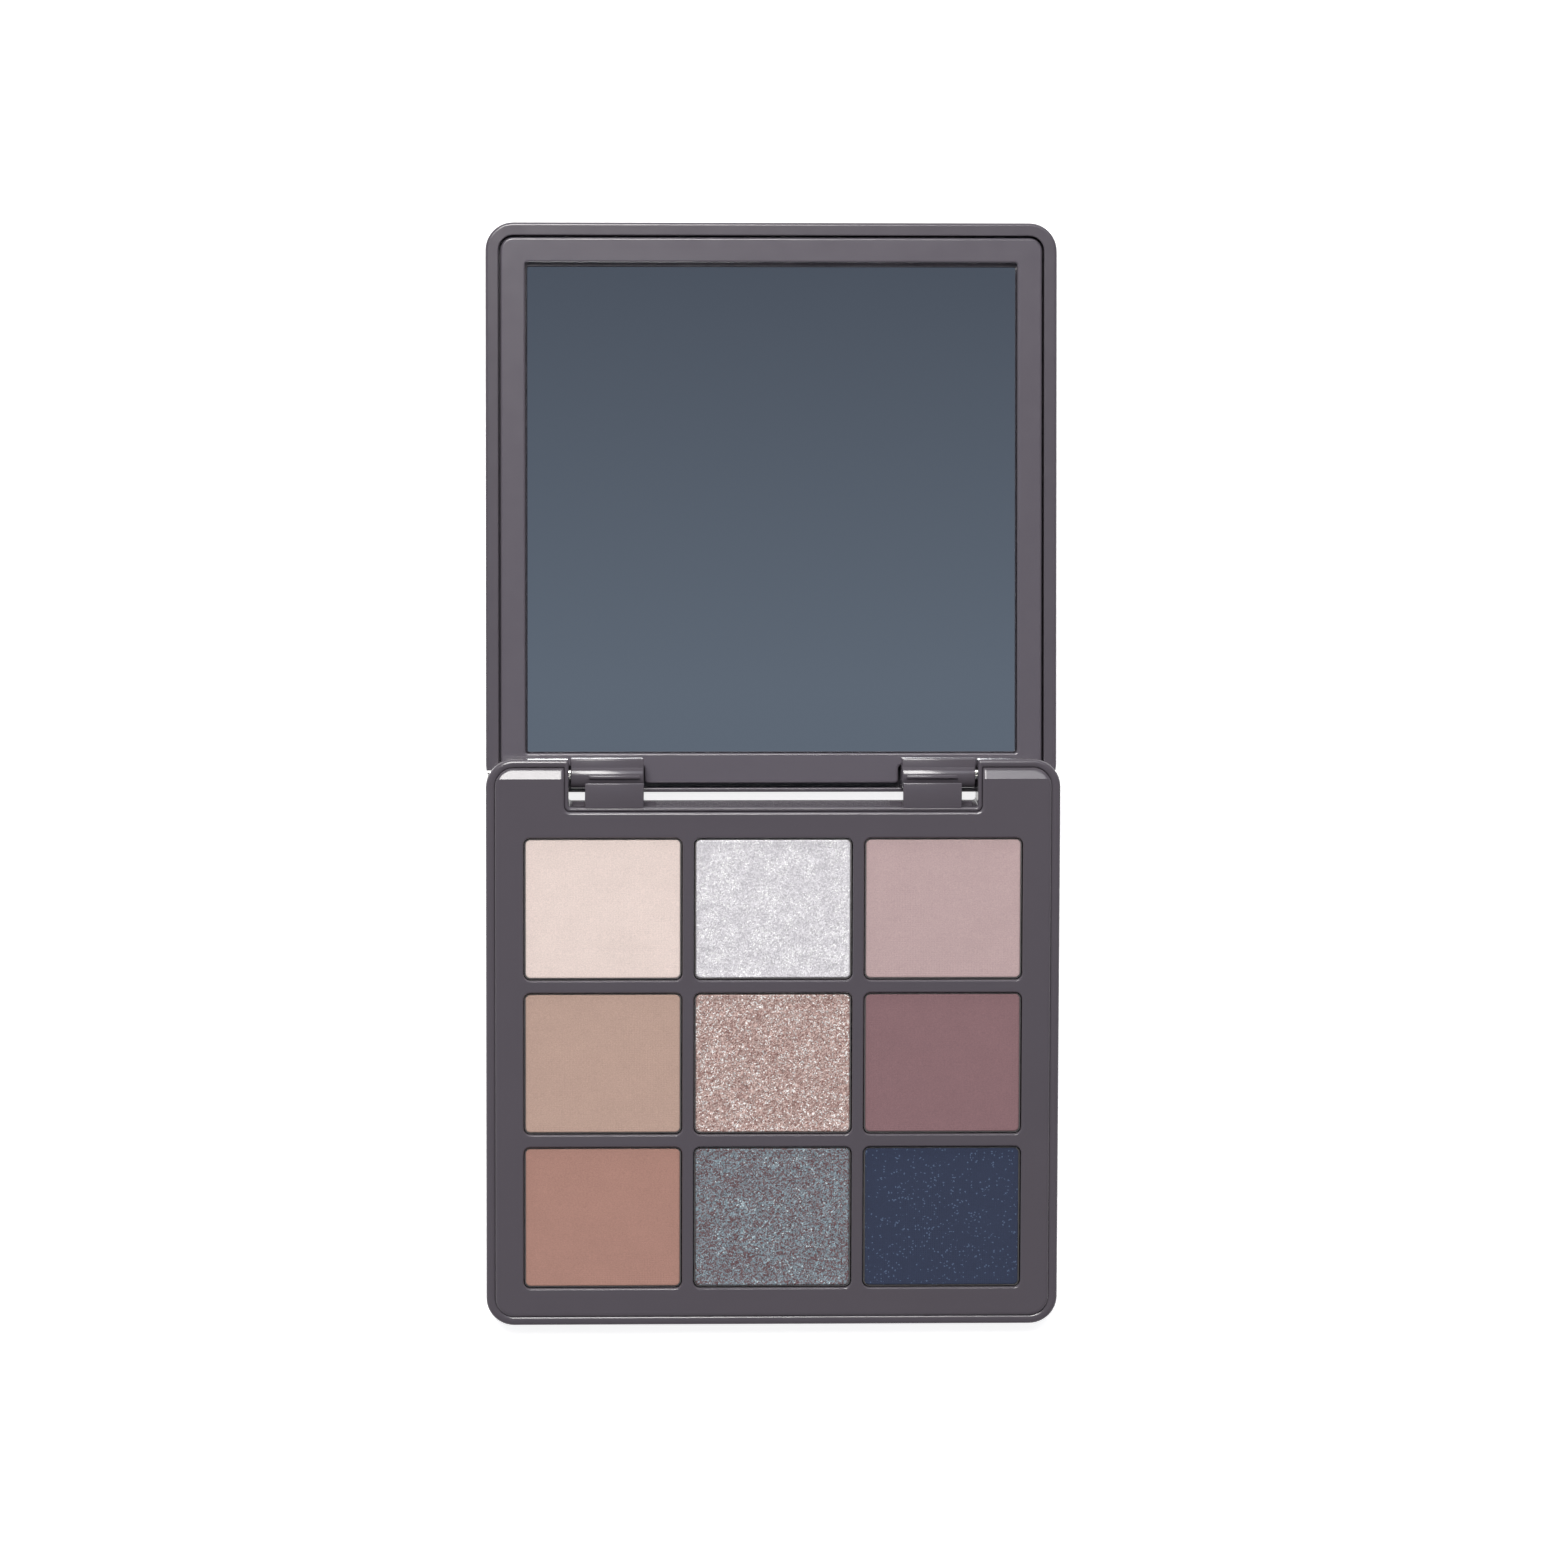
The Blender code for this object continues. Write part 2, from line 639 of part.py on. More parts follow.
def frame_recess_corners():
    return rectangle(
        -(HALF_WIDTH - LID_RIM_WIDTH),
        HALF_WIDTH - LID_RIM_WIDTH,
        -(AXIS_INSET - LID_REAR_RIM),
        REACH - LID_RIM_WIDTH,
        BODY_CORNER - LID_RIM_WIDTH,
    )


def frame_outline(inset=0.0):
    """The mirror frame's outside: it fits the lid's recess and clears the two knuckles."""
    side = HALF_WIDTH - LID_RIM_WIDTH - FRAME_GAP
    rear = -(AXIS_INSET - LID_REAR_RIM - FRAME_REAR_GAP)
    corner = BODY_CORNER - LID_RIM_WIDTH - FRAME_GAP
    inner = KNUCKLE_INNER - FRAME_NOTCH_GAP
    outer = KNUCKLE_OUTER + FRAME_NOTCH_GAP
    turn = FRAME_NOTCH_CORNER
    right = [
        (inner, rear, turn),
        (inner, FRAME_NOTCH_FRONT, turn),
        (outer, FRAME_NOTCH_FRONT, turn),
        (outer, rear, turn),
        (side, rear, corner),
        (side, REACH - LID_RIM_WIDTH - FRAME_GAP, corner),
    ]
    left = [(-x, y, radius) for x, y, radius in reversed(right)]
    return outline(right + left, inset)


def window_corners(side_gap=0.0, top_gap=0.0, bottom_gap=0.0, radius=WINDOW_CORNER):
    """The frame's window, or what lies in it with a gap to each side."""
    side = HALF_WIDTH - LID_RIM_WIDTH - FRAME_GAP - FRAME_RAIL
    top = REACH - LID_RIM_WIDTH - FRAME_GAP - FRAME_RAIL
    bottom = -(AXIS_INSET - LID_REAR_RIM - FRAME_REAR_GAP) + FRAME_REAR_RAIL
    return rectangle(-side + side_gap, side - side_gap, bottom + bottom_gap, top - top_gap, radius)


def mirror_frame():
    mesh = bmesh.new()
    levels = [(frame_outline(), FRAME_UNDERSIDE)]
    levels += [(frame_outline(inset), FRAME_TOP - drop) for inset, drop in quarter(FRAME_EDGE)]
    underside, top = stack(mesh, levels)
    window = window_corners()
    levels = [(outline(window, -inset), FRAME_TOP - drop) for inset, drop in reversed(quarter(FRAME_EDGE))]
    floor_z = FRAME_TOP - MIRROR_RECESS - MIRROR_THICKNESS - ADHESIVE_THICKNESS - 2 * ADHESIVE_GAP
    levels.append((outline(window), floor_z))
    mouth, floor = stack(mesh, levels)
    cap(mesh, top, mouth)
    cap(mesh, floor)
    pockets = []
    for x_low, x_high, y_low, y_high in magnet_spans(1, MAGNET_GAP):
        corners = outline(rectangle(x_low, x_high, y_low, y_high, MAGNET_GAP))
        pocket, roof = stack(mesh, [(corners, FRAME_UNDERSIDE), (corners, FRAME_TOP - MAGNET_COVER)])
        pockets.append(pocket)
        cap(mesh, roof)
    cap(mesh, underside, *pockets)
    return close_up(mesh, "mirror_frame")


def mirror():
    corners = window_corners(MIRROR_SIDE_GAP, MIRROR_TOP_GAP, MIRROR_BOTTOM_GAP)
    top = FRAME_TOP - MIRROR_RECESS
    return prism("mirror", corners, top - MIRROR_THICKNESS, top)


def mirror_adhesive():
    corners = window_corners(ADHESIVE_MARGIN, ADHESIVE_MARGIN, ADHESIVE_MARGIN)
    top = FRAME_TOP - MIRROR_RECESS - MIRROR_THICKNESS - ADHESIVE_GAP
    return prism("mirror_adhesive", corners, top - ADHESIVE_THICKNESS, top)


def lean():
    """How far the base leans when the lid lies flat on its back and the base's front edge touches down."""
    across = REACH - EDGE_ROUND
    up = AXIS_HEIGHT - EDGE_ROUND
    drop = -LID_BACK - EDGE_ROUND
    return math.asin(drop / math.hypot(across, up)) - math.atan2(up, across)


def pivot(name, angle):
    """An empty on the hinge axis that carries one half."""
    made = bpy.data.objects.new(name, None)
    made.rotation_euler.x = angle
    made.location.z = -LID_BACK * MM
    bpy.context.scene.collection.objects.link(made)
    return made


def centre_on_origin(pivots, pieces):
    """Moves both pivots so that the open palette is centred over the origin along Y."""
    bpy.context.view_layer.update()
    graph = bpy.context.evaluated_depsgraph_get()
    along = []
    for made in pieces:
        evaluated = made.evaluated_get(graph)
        along += [(evaluated.matrix_world @ Vector(corner)).y for corner in evaluated.bound_box]
    for made in pivots:
        made.location.y = -(min(along) + max(along)) / 2


def main():
    for old in list(bpy.data.objects):
        bpy.data.objects.remove(old)
    finishes = {name: material(name, *values) for name, values in FINISHES.items()}
    base_pivot = pivot("base_pivot", lean())
    lid_pivot = pivot("lid_pivot", 0.0)

    shell, shell_helpers = base_shell()
    deck, deck_helpers = pan_deck()
    lid, lid_helpers = lid_shell()
    base_plastic, lid_plastic = finishes["base_plastic"], finishes["lid_plastic"]
    pieces = [dress(shell, base_plastic, base_pivot), dress(deck, base_plastic, base_pivot)]
    pieces += [dress(lid, lid_plastic, lid_pivot), dress(mirror_frame(), lid_plastic, lid_pivot)]
    for helper in shell_helpers + deck_helpers:
        helper.parent = base_pivot
    for helper in lid_helpers:
        helper.parent = lid_pivot

    for row, column, x_low, x_high, y_low, y_high in well_spans():
        label = f"{row + 1}_{column + 1}"
        corners = rectangle(x_low, x_high, y_low, y_high, WELL_CORNER)
        cup = [(x, y, WELL_CORNER - PAN_GAP) for x, y in inset_ends(corners, PAN_GAP)]
        fill_gap = PAN_GAP + PAN_SHEET + POWDER_GAP
        fill = [(x, y, WELL_CORNER - fill_gap) for x, y in inset_ends(corners, fill_gap)]
        middle = ((x_low + x_high) / 2, (y_low + y_high) / 2)
        glue_low = WELL_BOTTOM + GLUE_GAP
        colour = POWDERS[(row * COLUMNS + column) % len(POWDERS)]
        cake = material(*colour)
        pieces.append(dress(pan(f"pan_{label}", cup), finishes["pan_tinplate"], base_pivot))
        pieces.append(dress(powder(f"powder_{label}", fill), cake, base_pivot))
        dot = disc(f"glue_dot_{label}", *middle, GLUE_RADIUS, glue_low, glue_low + GLUE_THICKNESS)
        pieces.append(dress(dot, finishes["hot_glue"], base_pivot))

    for side, (x_low, x_high) in zip(
        ("right", "left"), both_sides(KNUCKLE_OUTER - PIN_REACH, HALF_WIDTH - PIN_RECESS)
    ):
        rod = rods(f"hinge_pin_{side}", [(x_low, x_high)], PIN_RADIUS)
        pieces.append(dress(rod, finishes["pin_steel"], base_pivot))

    for half, direction, top, parent in (
        ("base", -1, DECK_TOP, base_pivot),
        ("lid", 1, FRAME_TOP, lid_pivot),
    ):
        high = top - MAGNET_COVER - MAGNET_GAP
        for side, (x_low, x_high, y_low, y_high) in zip(("right", "left"), magnet_spans(direction, 0.0)):
            span = (x_low, x_high, y_low, y_high, high - MAGNET_THICKNESS, high)
            bar = boxes(f"{half}_magnet_{side}", [span])
            pieces.append(dress(bar, finishes["magnet_nickel"], parent))

    pieces.append(dress(mirror(), finishes["mirror_silver"], lid_pivot))
    pieces.append(dress(mirror_adhesive(), finishes["foam_tape"], lid_pivot))
    label_high = BASE_UNDERSIDE + LABEL_RECESS - GLUE_GAP
    label = prism("bottom_label", label_corners(), label_high - LABEL_THICKNESS, label_high)
    pieces.append(dress(label, finishes["label_paper"], base_pivot))
    centre_on_origin((base_pivot, lid_pivot), pieces)


def inset_ends(corners, inset):
    """Corner points of a rectangle moved inwards by inset."""
    (x_low, y_low, _), _, (x_high, y_high, _), _ = corners
    a, b, c, d = x_low + inset, x_high - inset, y_low + inset, y_high - inset
    return [(a, c), (b, c), (b, d), (a, d)]


main()
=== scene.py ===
"""Looks of a nine-pan pressed-powder palette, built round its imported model.

Each half is built in its own flat frame, with the hinge axis along X through the origin and +Z out of
the half's open side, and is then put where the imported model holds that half.
"""

import json
import math

import bmesh
import bpy
from bpy.props import FloatProperty, FloatVectorProperty, IntProperty, PointerProperty
from bpy.types import Operator, Panel, PropertyGroup
from mathutils import Matrix, Vector, noise


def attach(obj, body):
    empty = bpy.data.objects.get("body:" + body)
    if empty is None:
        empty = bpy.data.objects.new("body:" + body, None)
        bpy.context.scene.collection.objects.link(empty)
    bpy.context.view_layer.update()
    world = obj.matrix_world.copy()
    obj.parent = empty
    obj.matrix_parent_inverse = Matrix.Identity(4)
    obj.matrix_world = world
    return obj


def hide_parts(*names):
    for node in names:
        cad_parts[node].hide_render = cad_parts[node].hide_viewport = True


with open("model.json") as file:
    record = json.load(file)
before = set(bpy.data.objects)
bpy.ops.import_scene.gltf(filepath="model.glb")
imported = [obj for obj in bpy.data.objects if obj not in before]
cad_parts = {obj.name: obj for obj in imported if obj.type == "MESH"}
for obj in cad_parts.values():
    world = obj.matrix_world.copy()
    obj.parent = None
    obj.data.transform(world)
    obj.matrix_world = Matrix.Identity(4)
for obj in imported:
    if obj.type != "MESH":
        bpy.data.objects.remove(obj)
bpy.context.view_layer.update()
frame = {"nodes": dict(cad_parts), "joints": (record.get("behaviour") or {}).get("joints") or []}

bl_info = {
    "name": "Powder Palette",
    "version": (1, 0, 0),
    "blender": (4, 5, 0),
    "location": "3D View > Sidebar > Palette",
    "description": "Builds the visible pieces, finishes and studio of a pressed-powder palette",
    "category": "Object",
}

MM = 0.001
ROWS = COLUMNS = 3
CORNER_STEPS = 12  # facets round a corner seen from above
EDGE_STEPS = 5  # facets over a rounded edge
CROWN_STEPS = 11  # cuts across the base's swelling rim
DECK_CREASE = 15.0  # degrees past which the deck shows a crease
SUPPORT = 0.02 * MM  # strip of flat that keeps the shading of a rounded edge off its face
SMALLEST = 0.01 * MM  # least radius of a corner
SEAT_GAP = 0.1 * MM  # air under a plate that sits on another piece
RIM_GAP = 0.03 * MM  # air between a powder and its pan's rim
LEVEL = 0.001 * MM  # heights closer than this are the same
SPREAD = 20 * MM  # how far apart outlines stand while they are bridged
TABLE_DROP = 0.05 * MM  # table's top below the palette's lowest edge

HINGE = Vector(frame["joints"][0]["pos_m"])


def top_normal(node):
    """The way the largest upward face of a CAD node points."""
    faces = [face for face in frame["nodes"][node].data.polygons if face.normal.z > 0.9]
    return max(faces, key=lambda face: face.area).normal.copy()


def half_matrix(node):
    """Places a half's flat frame in the world, leaning as the given node's flat top leans."""
    up = top_normal(node)
    return Matrix.Translation(HINGE) @ Matrix.Rotation(math.atan2(-up.y, up.z), 4, "X")


BASE = half_matrix("powder_2_2")
LID = half_matrix("mirror")


def half_box(node, half):
    """Lowest and highest corner of a CAD node in its half's own flat frame."""
    inverse = half.inverted()
    points = [inverse @ vertex.co for vertex in frame["nodes"][node].data.vertices]
    low = Vector([min(point[k] for point in points) for k in range(3)])
    high = Vector([max(point[k] for point in points) for k in range(3)])
    return low, high


def linear(hex_colour):
    """An sRGB hex colour as linear red, green and blue."""
    parts = [int(hex_colour[i : i + 2], 16) / 255 for i in (0, 2, 4)]
    return [c / 12.92 if c <= 0.04045 else ((c + 0.055) / 1.055) ** 2.4 for c in parts]


def size(label, text, millimetres):
    return FloatProperty(name=label, description=text, default=millimetres * MM, min=0.0, unit="LENGTH")


def colour(label, text, hex_colour):
    return FloatVectorProperty(
        name=label, description=text, default=linear(hex_colour), size=3, min=0.0, max=1.0, subtype="COLOR"
    )


def amount(label, text, value):
    return FloatProperty(name=label, description=text, default=value, min=0.0)


def group(name):
    """One of the scene's groups of sizes and colours, which the classes below define."""
    return getattr(bpy.context.scene, "palette_" + name)


# Sizes and colours


class PaletteBodySizes(PropertyGroup):
    corner: size("Body corner", "Radius of the body's corners seen from above", 4.4)
    edge: size("Outer edge", "Rounding where a shell's wall meets its back", 0.9)
    wall: size("Wall", "Thickness of the base's side walls", 2.2)
    floor: size("Floor", "Thickness of the base's floor", 1.2)
    rim_drop: size("Rim fall", "How far the base's rim falls to its outer edge", 0.45)
    inner_drop: size("Rim inner fall", "How far the base's rim falls to the deck", 0.22)
    notch_top: size("Notch front", "Hinge axis to the notch's front wall at the rim", 4.7)
    notch_draft: size("Notch draft", "How far the notch's front wall leans over its height", 0.5)
    undercut: size("Ear undercut", "How far an ear's rear wall leans in over its height", 0.6)
    notch_corner: size("Notch corner", "Radius of the notch's front corners", 0.5)
    ear_corner: size("Ear corner", "Radius of an ear's corner beside the notch", 0.25)
    label_gap: size("Label gap", "Gap round the label in its recess", 0.3)
    notch_rim: size("Notch rim", "Width of the rim round the notch", 0.45)
    parting: size("Parting gap", "Visible gap between the deck and the rim", 0.06)
    cavity_corner: size("Cavity corner", "Radius of the base cavity's corners", 2.0)
    block: size("Hinge block", "Solid plastic between the notch and the cavity", 2.4)


class PaletteDeckSizes(PropertyGroup):
    gap: size("Deck gap", "Gap between the deck and its recess", 0.25)
    pan_gap: size("Pan gap", "Gap between a pan and its well", 0.15)
    notch_corner: size("Notch corner", "Radius of the deck's corners at the notch's front", 0.95)
    ear_corner: size("Ear corner", "Radius of a deck ear's corner beside the notch", 0.12)
    edge: size("Deck edge", "How far the rounding round the deck reaches in", 0.52)
    edge_fall: size("Deck edge fall", "How far the rounding round the deck falls", 0.3)
    mouth: size("Well edge", "Rounding of each well's mouth", 0.3)
    well_corner: size("Well corner", "Radius of a well's corners", 1.1)
    well_wall: size("Well wall", "Wall round the wells under the deck", 1.2)
    plate: size("Deck plate", "Thickness of the deck", 1.2)
    fold: size("Ear fold", "Hinge axis to where an ear starts to fall, towards the front", 0.2)
    fall: size("Ear fall", "How far an ear has fallen at the deck's rear edge", 0.55)


class PaletteHingeSizes(PropertyGroup):
    knuckle_radius: size("Barrel radius", "Radius of the knuckle's barrel", 2.05)
    knuckle_inner: size("Knuckle start", "Middle of the palette to a knuckle's inner end", 20.3)
    knuckle_width: size("Knuckle width", "Length of a knuckle along the axis", 11.4)
    knuckle_front: size("Knuckle front", "Axis to the front of the knuckle's column", 0.6)
    side_gap: size("Side gap", "Gap between a knuckle and its ear", 0.35)
    lip_reach: size("Lip reach", "Axis to the front of the knuckle's lip", 2.67)
    lip_top: size("Lip top", "Height of the lip's top above the axis", 1.68)
    lip_sweep: size("Lip sweep", "Radius of the lip's underside about the axis", 2.95)
    lip_round: size("Lip rounding", "Rounding of the lip's upper edge", 0.3)
    rib_width: size("Rib width", "Length of the detent rib along the axis", 8.0)
    rib_depth: size("Rib depth", "Thickness of the detent rib", 0.55)
    rib_radius: size("Rib radius", "Axis to the top of the detent rib", 2.5)
    tongue_width: size("Tongue width", "Width of the spring tongue that rides on the rib", 9.2)
    tongue_tip: size("Tongue tip", "Axis to the tongue's tip", 0.9)
    tongue_thickness: size("Tongue thickness", "Thickness of the tongue", 0.7)
    pocket_width: size("Pocket width", "Width of the moulding pocket beside a tongue", 1.9)
    pocket_depth: size("Pocket depth", "How far a pocket goes into the notch's wall", 0.5)
    pocket_floor: size("Pocket floor", "Plastic left under a pocket", 2.2)
    pocket_roof: size("Pocket roof", "Plastic left over a pocket", 1.1)
    softening: size("Softened edge", "Rounding of the hinge parts' edges", 0.14)
    bore_gap: size("Bore gap", "Gap between a pin and its bore", 0.07)
    bore_end: size("Bore end", "Room in a bore past its pin's inner end", 0.4)
    splines: IntProperty(name="Splines", description="Ridges round a knurled pin", default=16, min=6)
    spline_depth: size("Spline depth", "Height of the ridges round a pin", 0.09)


class PaletteLidSizes(PropertyGroup):
    rim: size("Lid rim", "Width of the lid's rim", 2.05)
    rear_rim: size("Lid rear rim", "Width of the lid's rim at the hinge", 0.7)
    rim_edge: size("Lid rim edge", "Rounding of the rim's outer edge", 0.45)
    inner_edge: size("Lid inner edge", "Rounding of the rim's inner edge", 0.18)
    rim_rise: size("Lid rim rise", "How far the rim stands above the mirror frame", 0.2)
    floor: size("Lid floor", "Thickness of the lid's back", 1.2)
    gap: size("Frame gap", "Gap between the mirror frame and the lid", 0.3)
    frame_edge: size("Frame edge", "Rounding of the mirror frame's outer edge", 0.35)
    window_edge: size("Window edge", "Rounding of the mirror window's edge", 0.3)
    glue_gap: size("Glue gap", "Gap under the mirror's adhesive", 0.05)
    rail: size("Frame rail", "Width of the mirror frame's sides", 3.9)
    rear_rail: size("Frame rear rail", "Width of the mirror frame's rear rail", 4.75)
    notch_gap: size("Knuckle clearance", "Gap between a knuckle and the mirror frame", 0.3)
    notch_front: size("Frame notch", "Axis to the front of the frame's notches", 1.4)
    notch_corner: size("Frame notch corner", "Radius of the frame notches' corners", 0.6)
    window_corner: size("Window corner", "Radius of the mirror window's corners", 0.4)
    stiffener: size("Stiffener", "Width of the ribs inside the lid", 1.0)
    stiffeners: IntProperty(name="Stiffeners", description="Ribs inside the lid", default=3, min=1)
    axis_inset: size("Axis inset", "Lid's rear wall to the hinge axis", 2.85)
    arris: size("Arris", "Ground edge round the mirror glass", 0.15)


class PalettePowderSizes(PropertyGroup):
    gap: size("Powder gap", "Dark gap between a powder and its well", 0.34)
    edge: size("Powder edge", "Rounding of a powder's edge", 0.22)
    cell: size("Surface cell", "Spacing of the points on a powder's face", 0.4)
    relief: size("Relief", "Unevenness of a matte powder's pressed face", 0.012)
    shimmer_relief: size("Shimmer relief", "Unevenness of a shimmering powder's face", 0.05)
    sheet: size("Pan sheet", "Thickness of the pressed pans", 0.25)
    bend: size("Pan bend", "Rounding round a pan's underside", 0.35)


class PaletteColours(PropertyGroup):
    body: colour("Body", "Moulded body of the base and lid", "544F56")
    frame: colour("Frame", "Moulded mirror frame, a shade lighter", "5B565E")
    glass: colour("Glass edge", "Ground edge of the mirror glass", "56706A")
    silver: colour("Silver", "Silvering behind the mirror glass", "E4E8EA")
    ivory: colour("Ivory", "First powder", "E1D0C9")
    pearl: colour("Pearl", "Flakes of the second powder", "E2E0E4")
    pink: colour("Dusty pink", "Third powder", "B79F9F")
    sand: colour("Sand", "Fourth powder", "B5998C")
    rose: colour("Rose", "Binder of the fifth powder", "8D6A64")
    mauve: colour("Mauve", "Sixth powder", "846569")
    terracotta: colour("Terracotta", "Seventh powder", "A77F73")
    plum: colour("Plum", "Binder of the eighth powder", "644B4E")
    navy: colour("Navy", "Ninth powder", "2A334B")


class PaletteStudio(PropertyGroup):
    distance: size("Camera distance", "Hinge to camera", 1100.0)
    aside: size("Camera aside", "How far the camera stands to the left of the middle", 42.0)
    aim: size("Camera aim", "How far right of the hinge's middle the camera looks", 0.35)
    tilt: FloatProperty(
        name="Camera tilt", description="Lean off the vertical", default=math.radians(1.6), unit="ROTATION"
    )
    focal: amount("Focal length", "Focal length of the lens in millimetres", 162.95)
    key: amount("Key light", "Radiance of the soft box", 21.5)
    fill: amount("Fill light", "Radiance of the room", 0.2)


# Mesh work


def bevelled(mesh, geometry, offset, segments, affect="EDGES"):
    """Rounds edges or corners."""
    bmesh.ops.bevel(
        mesh, geom=geometry, offset=offset, offset_type="OFFSET", segments=segments, profile=0.5,
        affect=affect, material=-1, clamp_overlap=False,
    )


def flat_face(mesh, corners, height):
    """A flat face whose corners are given as (x, y, radius), rounded by a vertex bevel."""
    kept = set(mesh.faces)
    verts = [mesh.verts.new((x, y, height)) for x, y, _ in corners]
    mesh.faces.new(verts)
    for radius in sorted({corner[2] for corner in corners if corner[2] > 0}):
        chosen = [vert for vert, corner in zip(verts, corners) if corner[2] == radius]
        bevelled(mesh, chosen, radius, CORNER_STEPS, "VERTICES")
    return next(face for face in mesh.faces if face not in kept)


def moved_in(corners, inset):
    """A right-angled outline moved inwards, with the radii of its corners to match."""
    moved = []
    around = zip(corners[-1:] + corners[:-1], corners, corners[1:] + corners[:1])
    for (last_x, last_y, _), (x, y, radius), (next_x, next_y, _) in around:
        before = Vector((x - last_x, y - last_y)).normalized()
        after = Vector((next_x - x, next_y - y)).normalized()
        shift = inset * Vector((-before.y - after.y, before.x + after.x))
        turned = radius - inset if before.cross(after) > 0 else radius + inset
        moved.append((x + shift.x, y + shift.y, max(turned, SMALLEST)))
    return moved


def lofted(mesh, levels):
    """Walls through a stack of matching (outline, height) levels; gives back the first and last face.

    The outlines are bridged while they stand well apart, because level ones could be paired crosswise.
    """
    faces = [flat_face(mesh, corners, SPREAD * k) for k, (corners, _) in enumerate(levels)]
    loops = [list(face.edges) for face in faces]
    rings = [list(face.verts) for face in faces]
    bmesh.ops.delete(mesh, geom=faces[1:-1], context="FACES_ONLY")
    for lower, upper in zip(loops, loops[1:]):
        bmesh.ops.bridge_loops(mesh, edges=lower + upper)
    for ring, (_, height) in zip(rings, levels):
        for vert in ring:
            vert.co.z = height
    return faces[0], faces[-1]


def quarter(radius, fall=None):
    """(inwards, down) pairs along a quarter round, from the wall to a narrow strip of the flat."""
    if not radius:
        return [(0.0, 0.0)]
    angles = [math.pi / 2 * k / EDGE_STEPS for k in range(EDGE_STEPS + 1)]
    rounded = [(radius * (1 - math.cos(angle)), (fall or radius) * (1 - math.sin(angle))) for angle in angles]
    return rounded + [(radius + SUPPORT, 0.0)]


def slab(mesh, corners, low, high, lower_edge, upper_edge, upper_fall=None):
    """A slab with rounded edges; gives back its bottom and top faces."""
    levels = [(moved_in(corners, inset), low + drop) for inset, drop in reversed(quarter(lower_edge))]
    levels += [(moved_in(corners, inset), high - drop) for inset, drop in quarter(upper_edge, upper_fall)]
    return lofted(mesh, levels)


def well(mesh, corners, top, bottom, edge):
    """A well sunk from a flat top, with a rounded mouth; gives back its mouth and floor."""
    levels = [(moved_in(corners, -inset), top - drop) for inset, drop in reversed(quarter(edge))]
    return lofted(mesh, levels + [(corners, bottom)])


def opened(mesh, faces):
    """Takes faces away and fills the flat area between their outlines, in millimetres for the fill's sake."""
    edges = [edge for face in faces for edge in face.edges]
    bmesh.ops.delete(mesh, geom=faces, context="FACES_ONLY")
    bmesh.ops.scale(mesh, vec=[1 / MM] * 3, verts=mesh.verts[:])
    bmesh.ops.triangle_fill(mesh, use_beauty=True, edges=edges)
    bmesh.ops.scale(mesh, vec=[MM] * 3, verts=mesh.verts[:])


def crowned(mesh, outer, inner, outer_drop, inner_drop):
    """Bridges two matching outlines with a strip that swells between them in one smooth curve."""
    across = bmesh.ops.bridge_loops(mesh, edges=outer + inner)["edges"]
    start, end = (mesh.verts.layers.float_vector.new(name) for name in ("start", "end"))
    share = mesh.verts.layers.float.new("share")
    outside = {vert for edge in outer for vert in edge.verts}
    for edge in across:
        first, last = sorted(edge.verts, key=lambda vert: vert not in outside)
        for vert, value in ((first, 0.0), (last, 1.0)):
            vert[start], vert[end], vert[share] = first.co, last.co, value
    made = bmesh.ops.subdivide_edges(mesh, edges=across, cuts=CROWN_STEPS, use_grid_fill=True)["geom_inner"]
    for vert in (item for item in made if isinstance(item, bmesh.types.BMVert)):
        angle = math.pi * vert[share]
        vert.co = vert[start].lerp(vert[end], (1 - math.cos(angle)) / 2)
        outward = angle < math.pi / 2
        foot, rise = (vert[start].z, outer_drop) if outward else (vert[end].z, inner_drop)
        vert.co.z = foot + rise * math.sin(angle)


def rectangle(low, high, radius, inset=0.0):
    """Corners of an anticlockwise rectangle between two points."""
    x_low, x_high, y_low, y_high = low[0] + inset, high[0] - inset, low[1] + inset, high[1] - inset
    corners = (x_low, y_low), (x_high, y_low), (x_high, y_high), (x_low, y_high)
    return [(x, y, radius) for x, y in corners]


def block(mesh, low, high, softening=0.0):
    """A box between two corners, with softened edges."""
    made = bmesh.ops.create_cube(mesh, size=1.0)["verts"]
    bmesh.ops.scale(mesh, vec=Vector(high) - Vector(low), verts=made)
    bmesh.ops.translate(mesh, vec=(Vector(low) + Vector(high)) / 2, verts=made)
    if softening:
        bevelled(mesh, list({edge for vert in made for edge in vert.link_edges}), softening, 3)


def drawn_out(mesh, first, length):
    """Draws a face out along X into a closed solid; gives back the face at the far end."""
    made = bmesh.ops.extrude_face_region(mesh, geom=[first])["geom"]
    moved = [item for item in made if isinstance(item, bmesh.types.BMVert)]
    bmesh.ops.translate(mesh, verts=moved, vec=(length, 0, 0))
    faced_out(mesh)
    return next(item for item in made if isinstance(item, bmesh.types.BMFace))


def bar(mesh, profile, x_low, x_high, softening=0.0):
    """A bar along X with one (y, z) profile and softened ends."""
    first = mesh.faces.new([mesh.verts.new((x_low, y, z)) for y, z in profile])
    last = drawn_out(mesh, first, x_high - x_low)
    if softening:
        bevelled(mesh, list(first.edges) + list(last.edges), softening, 3)


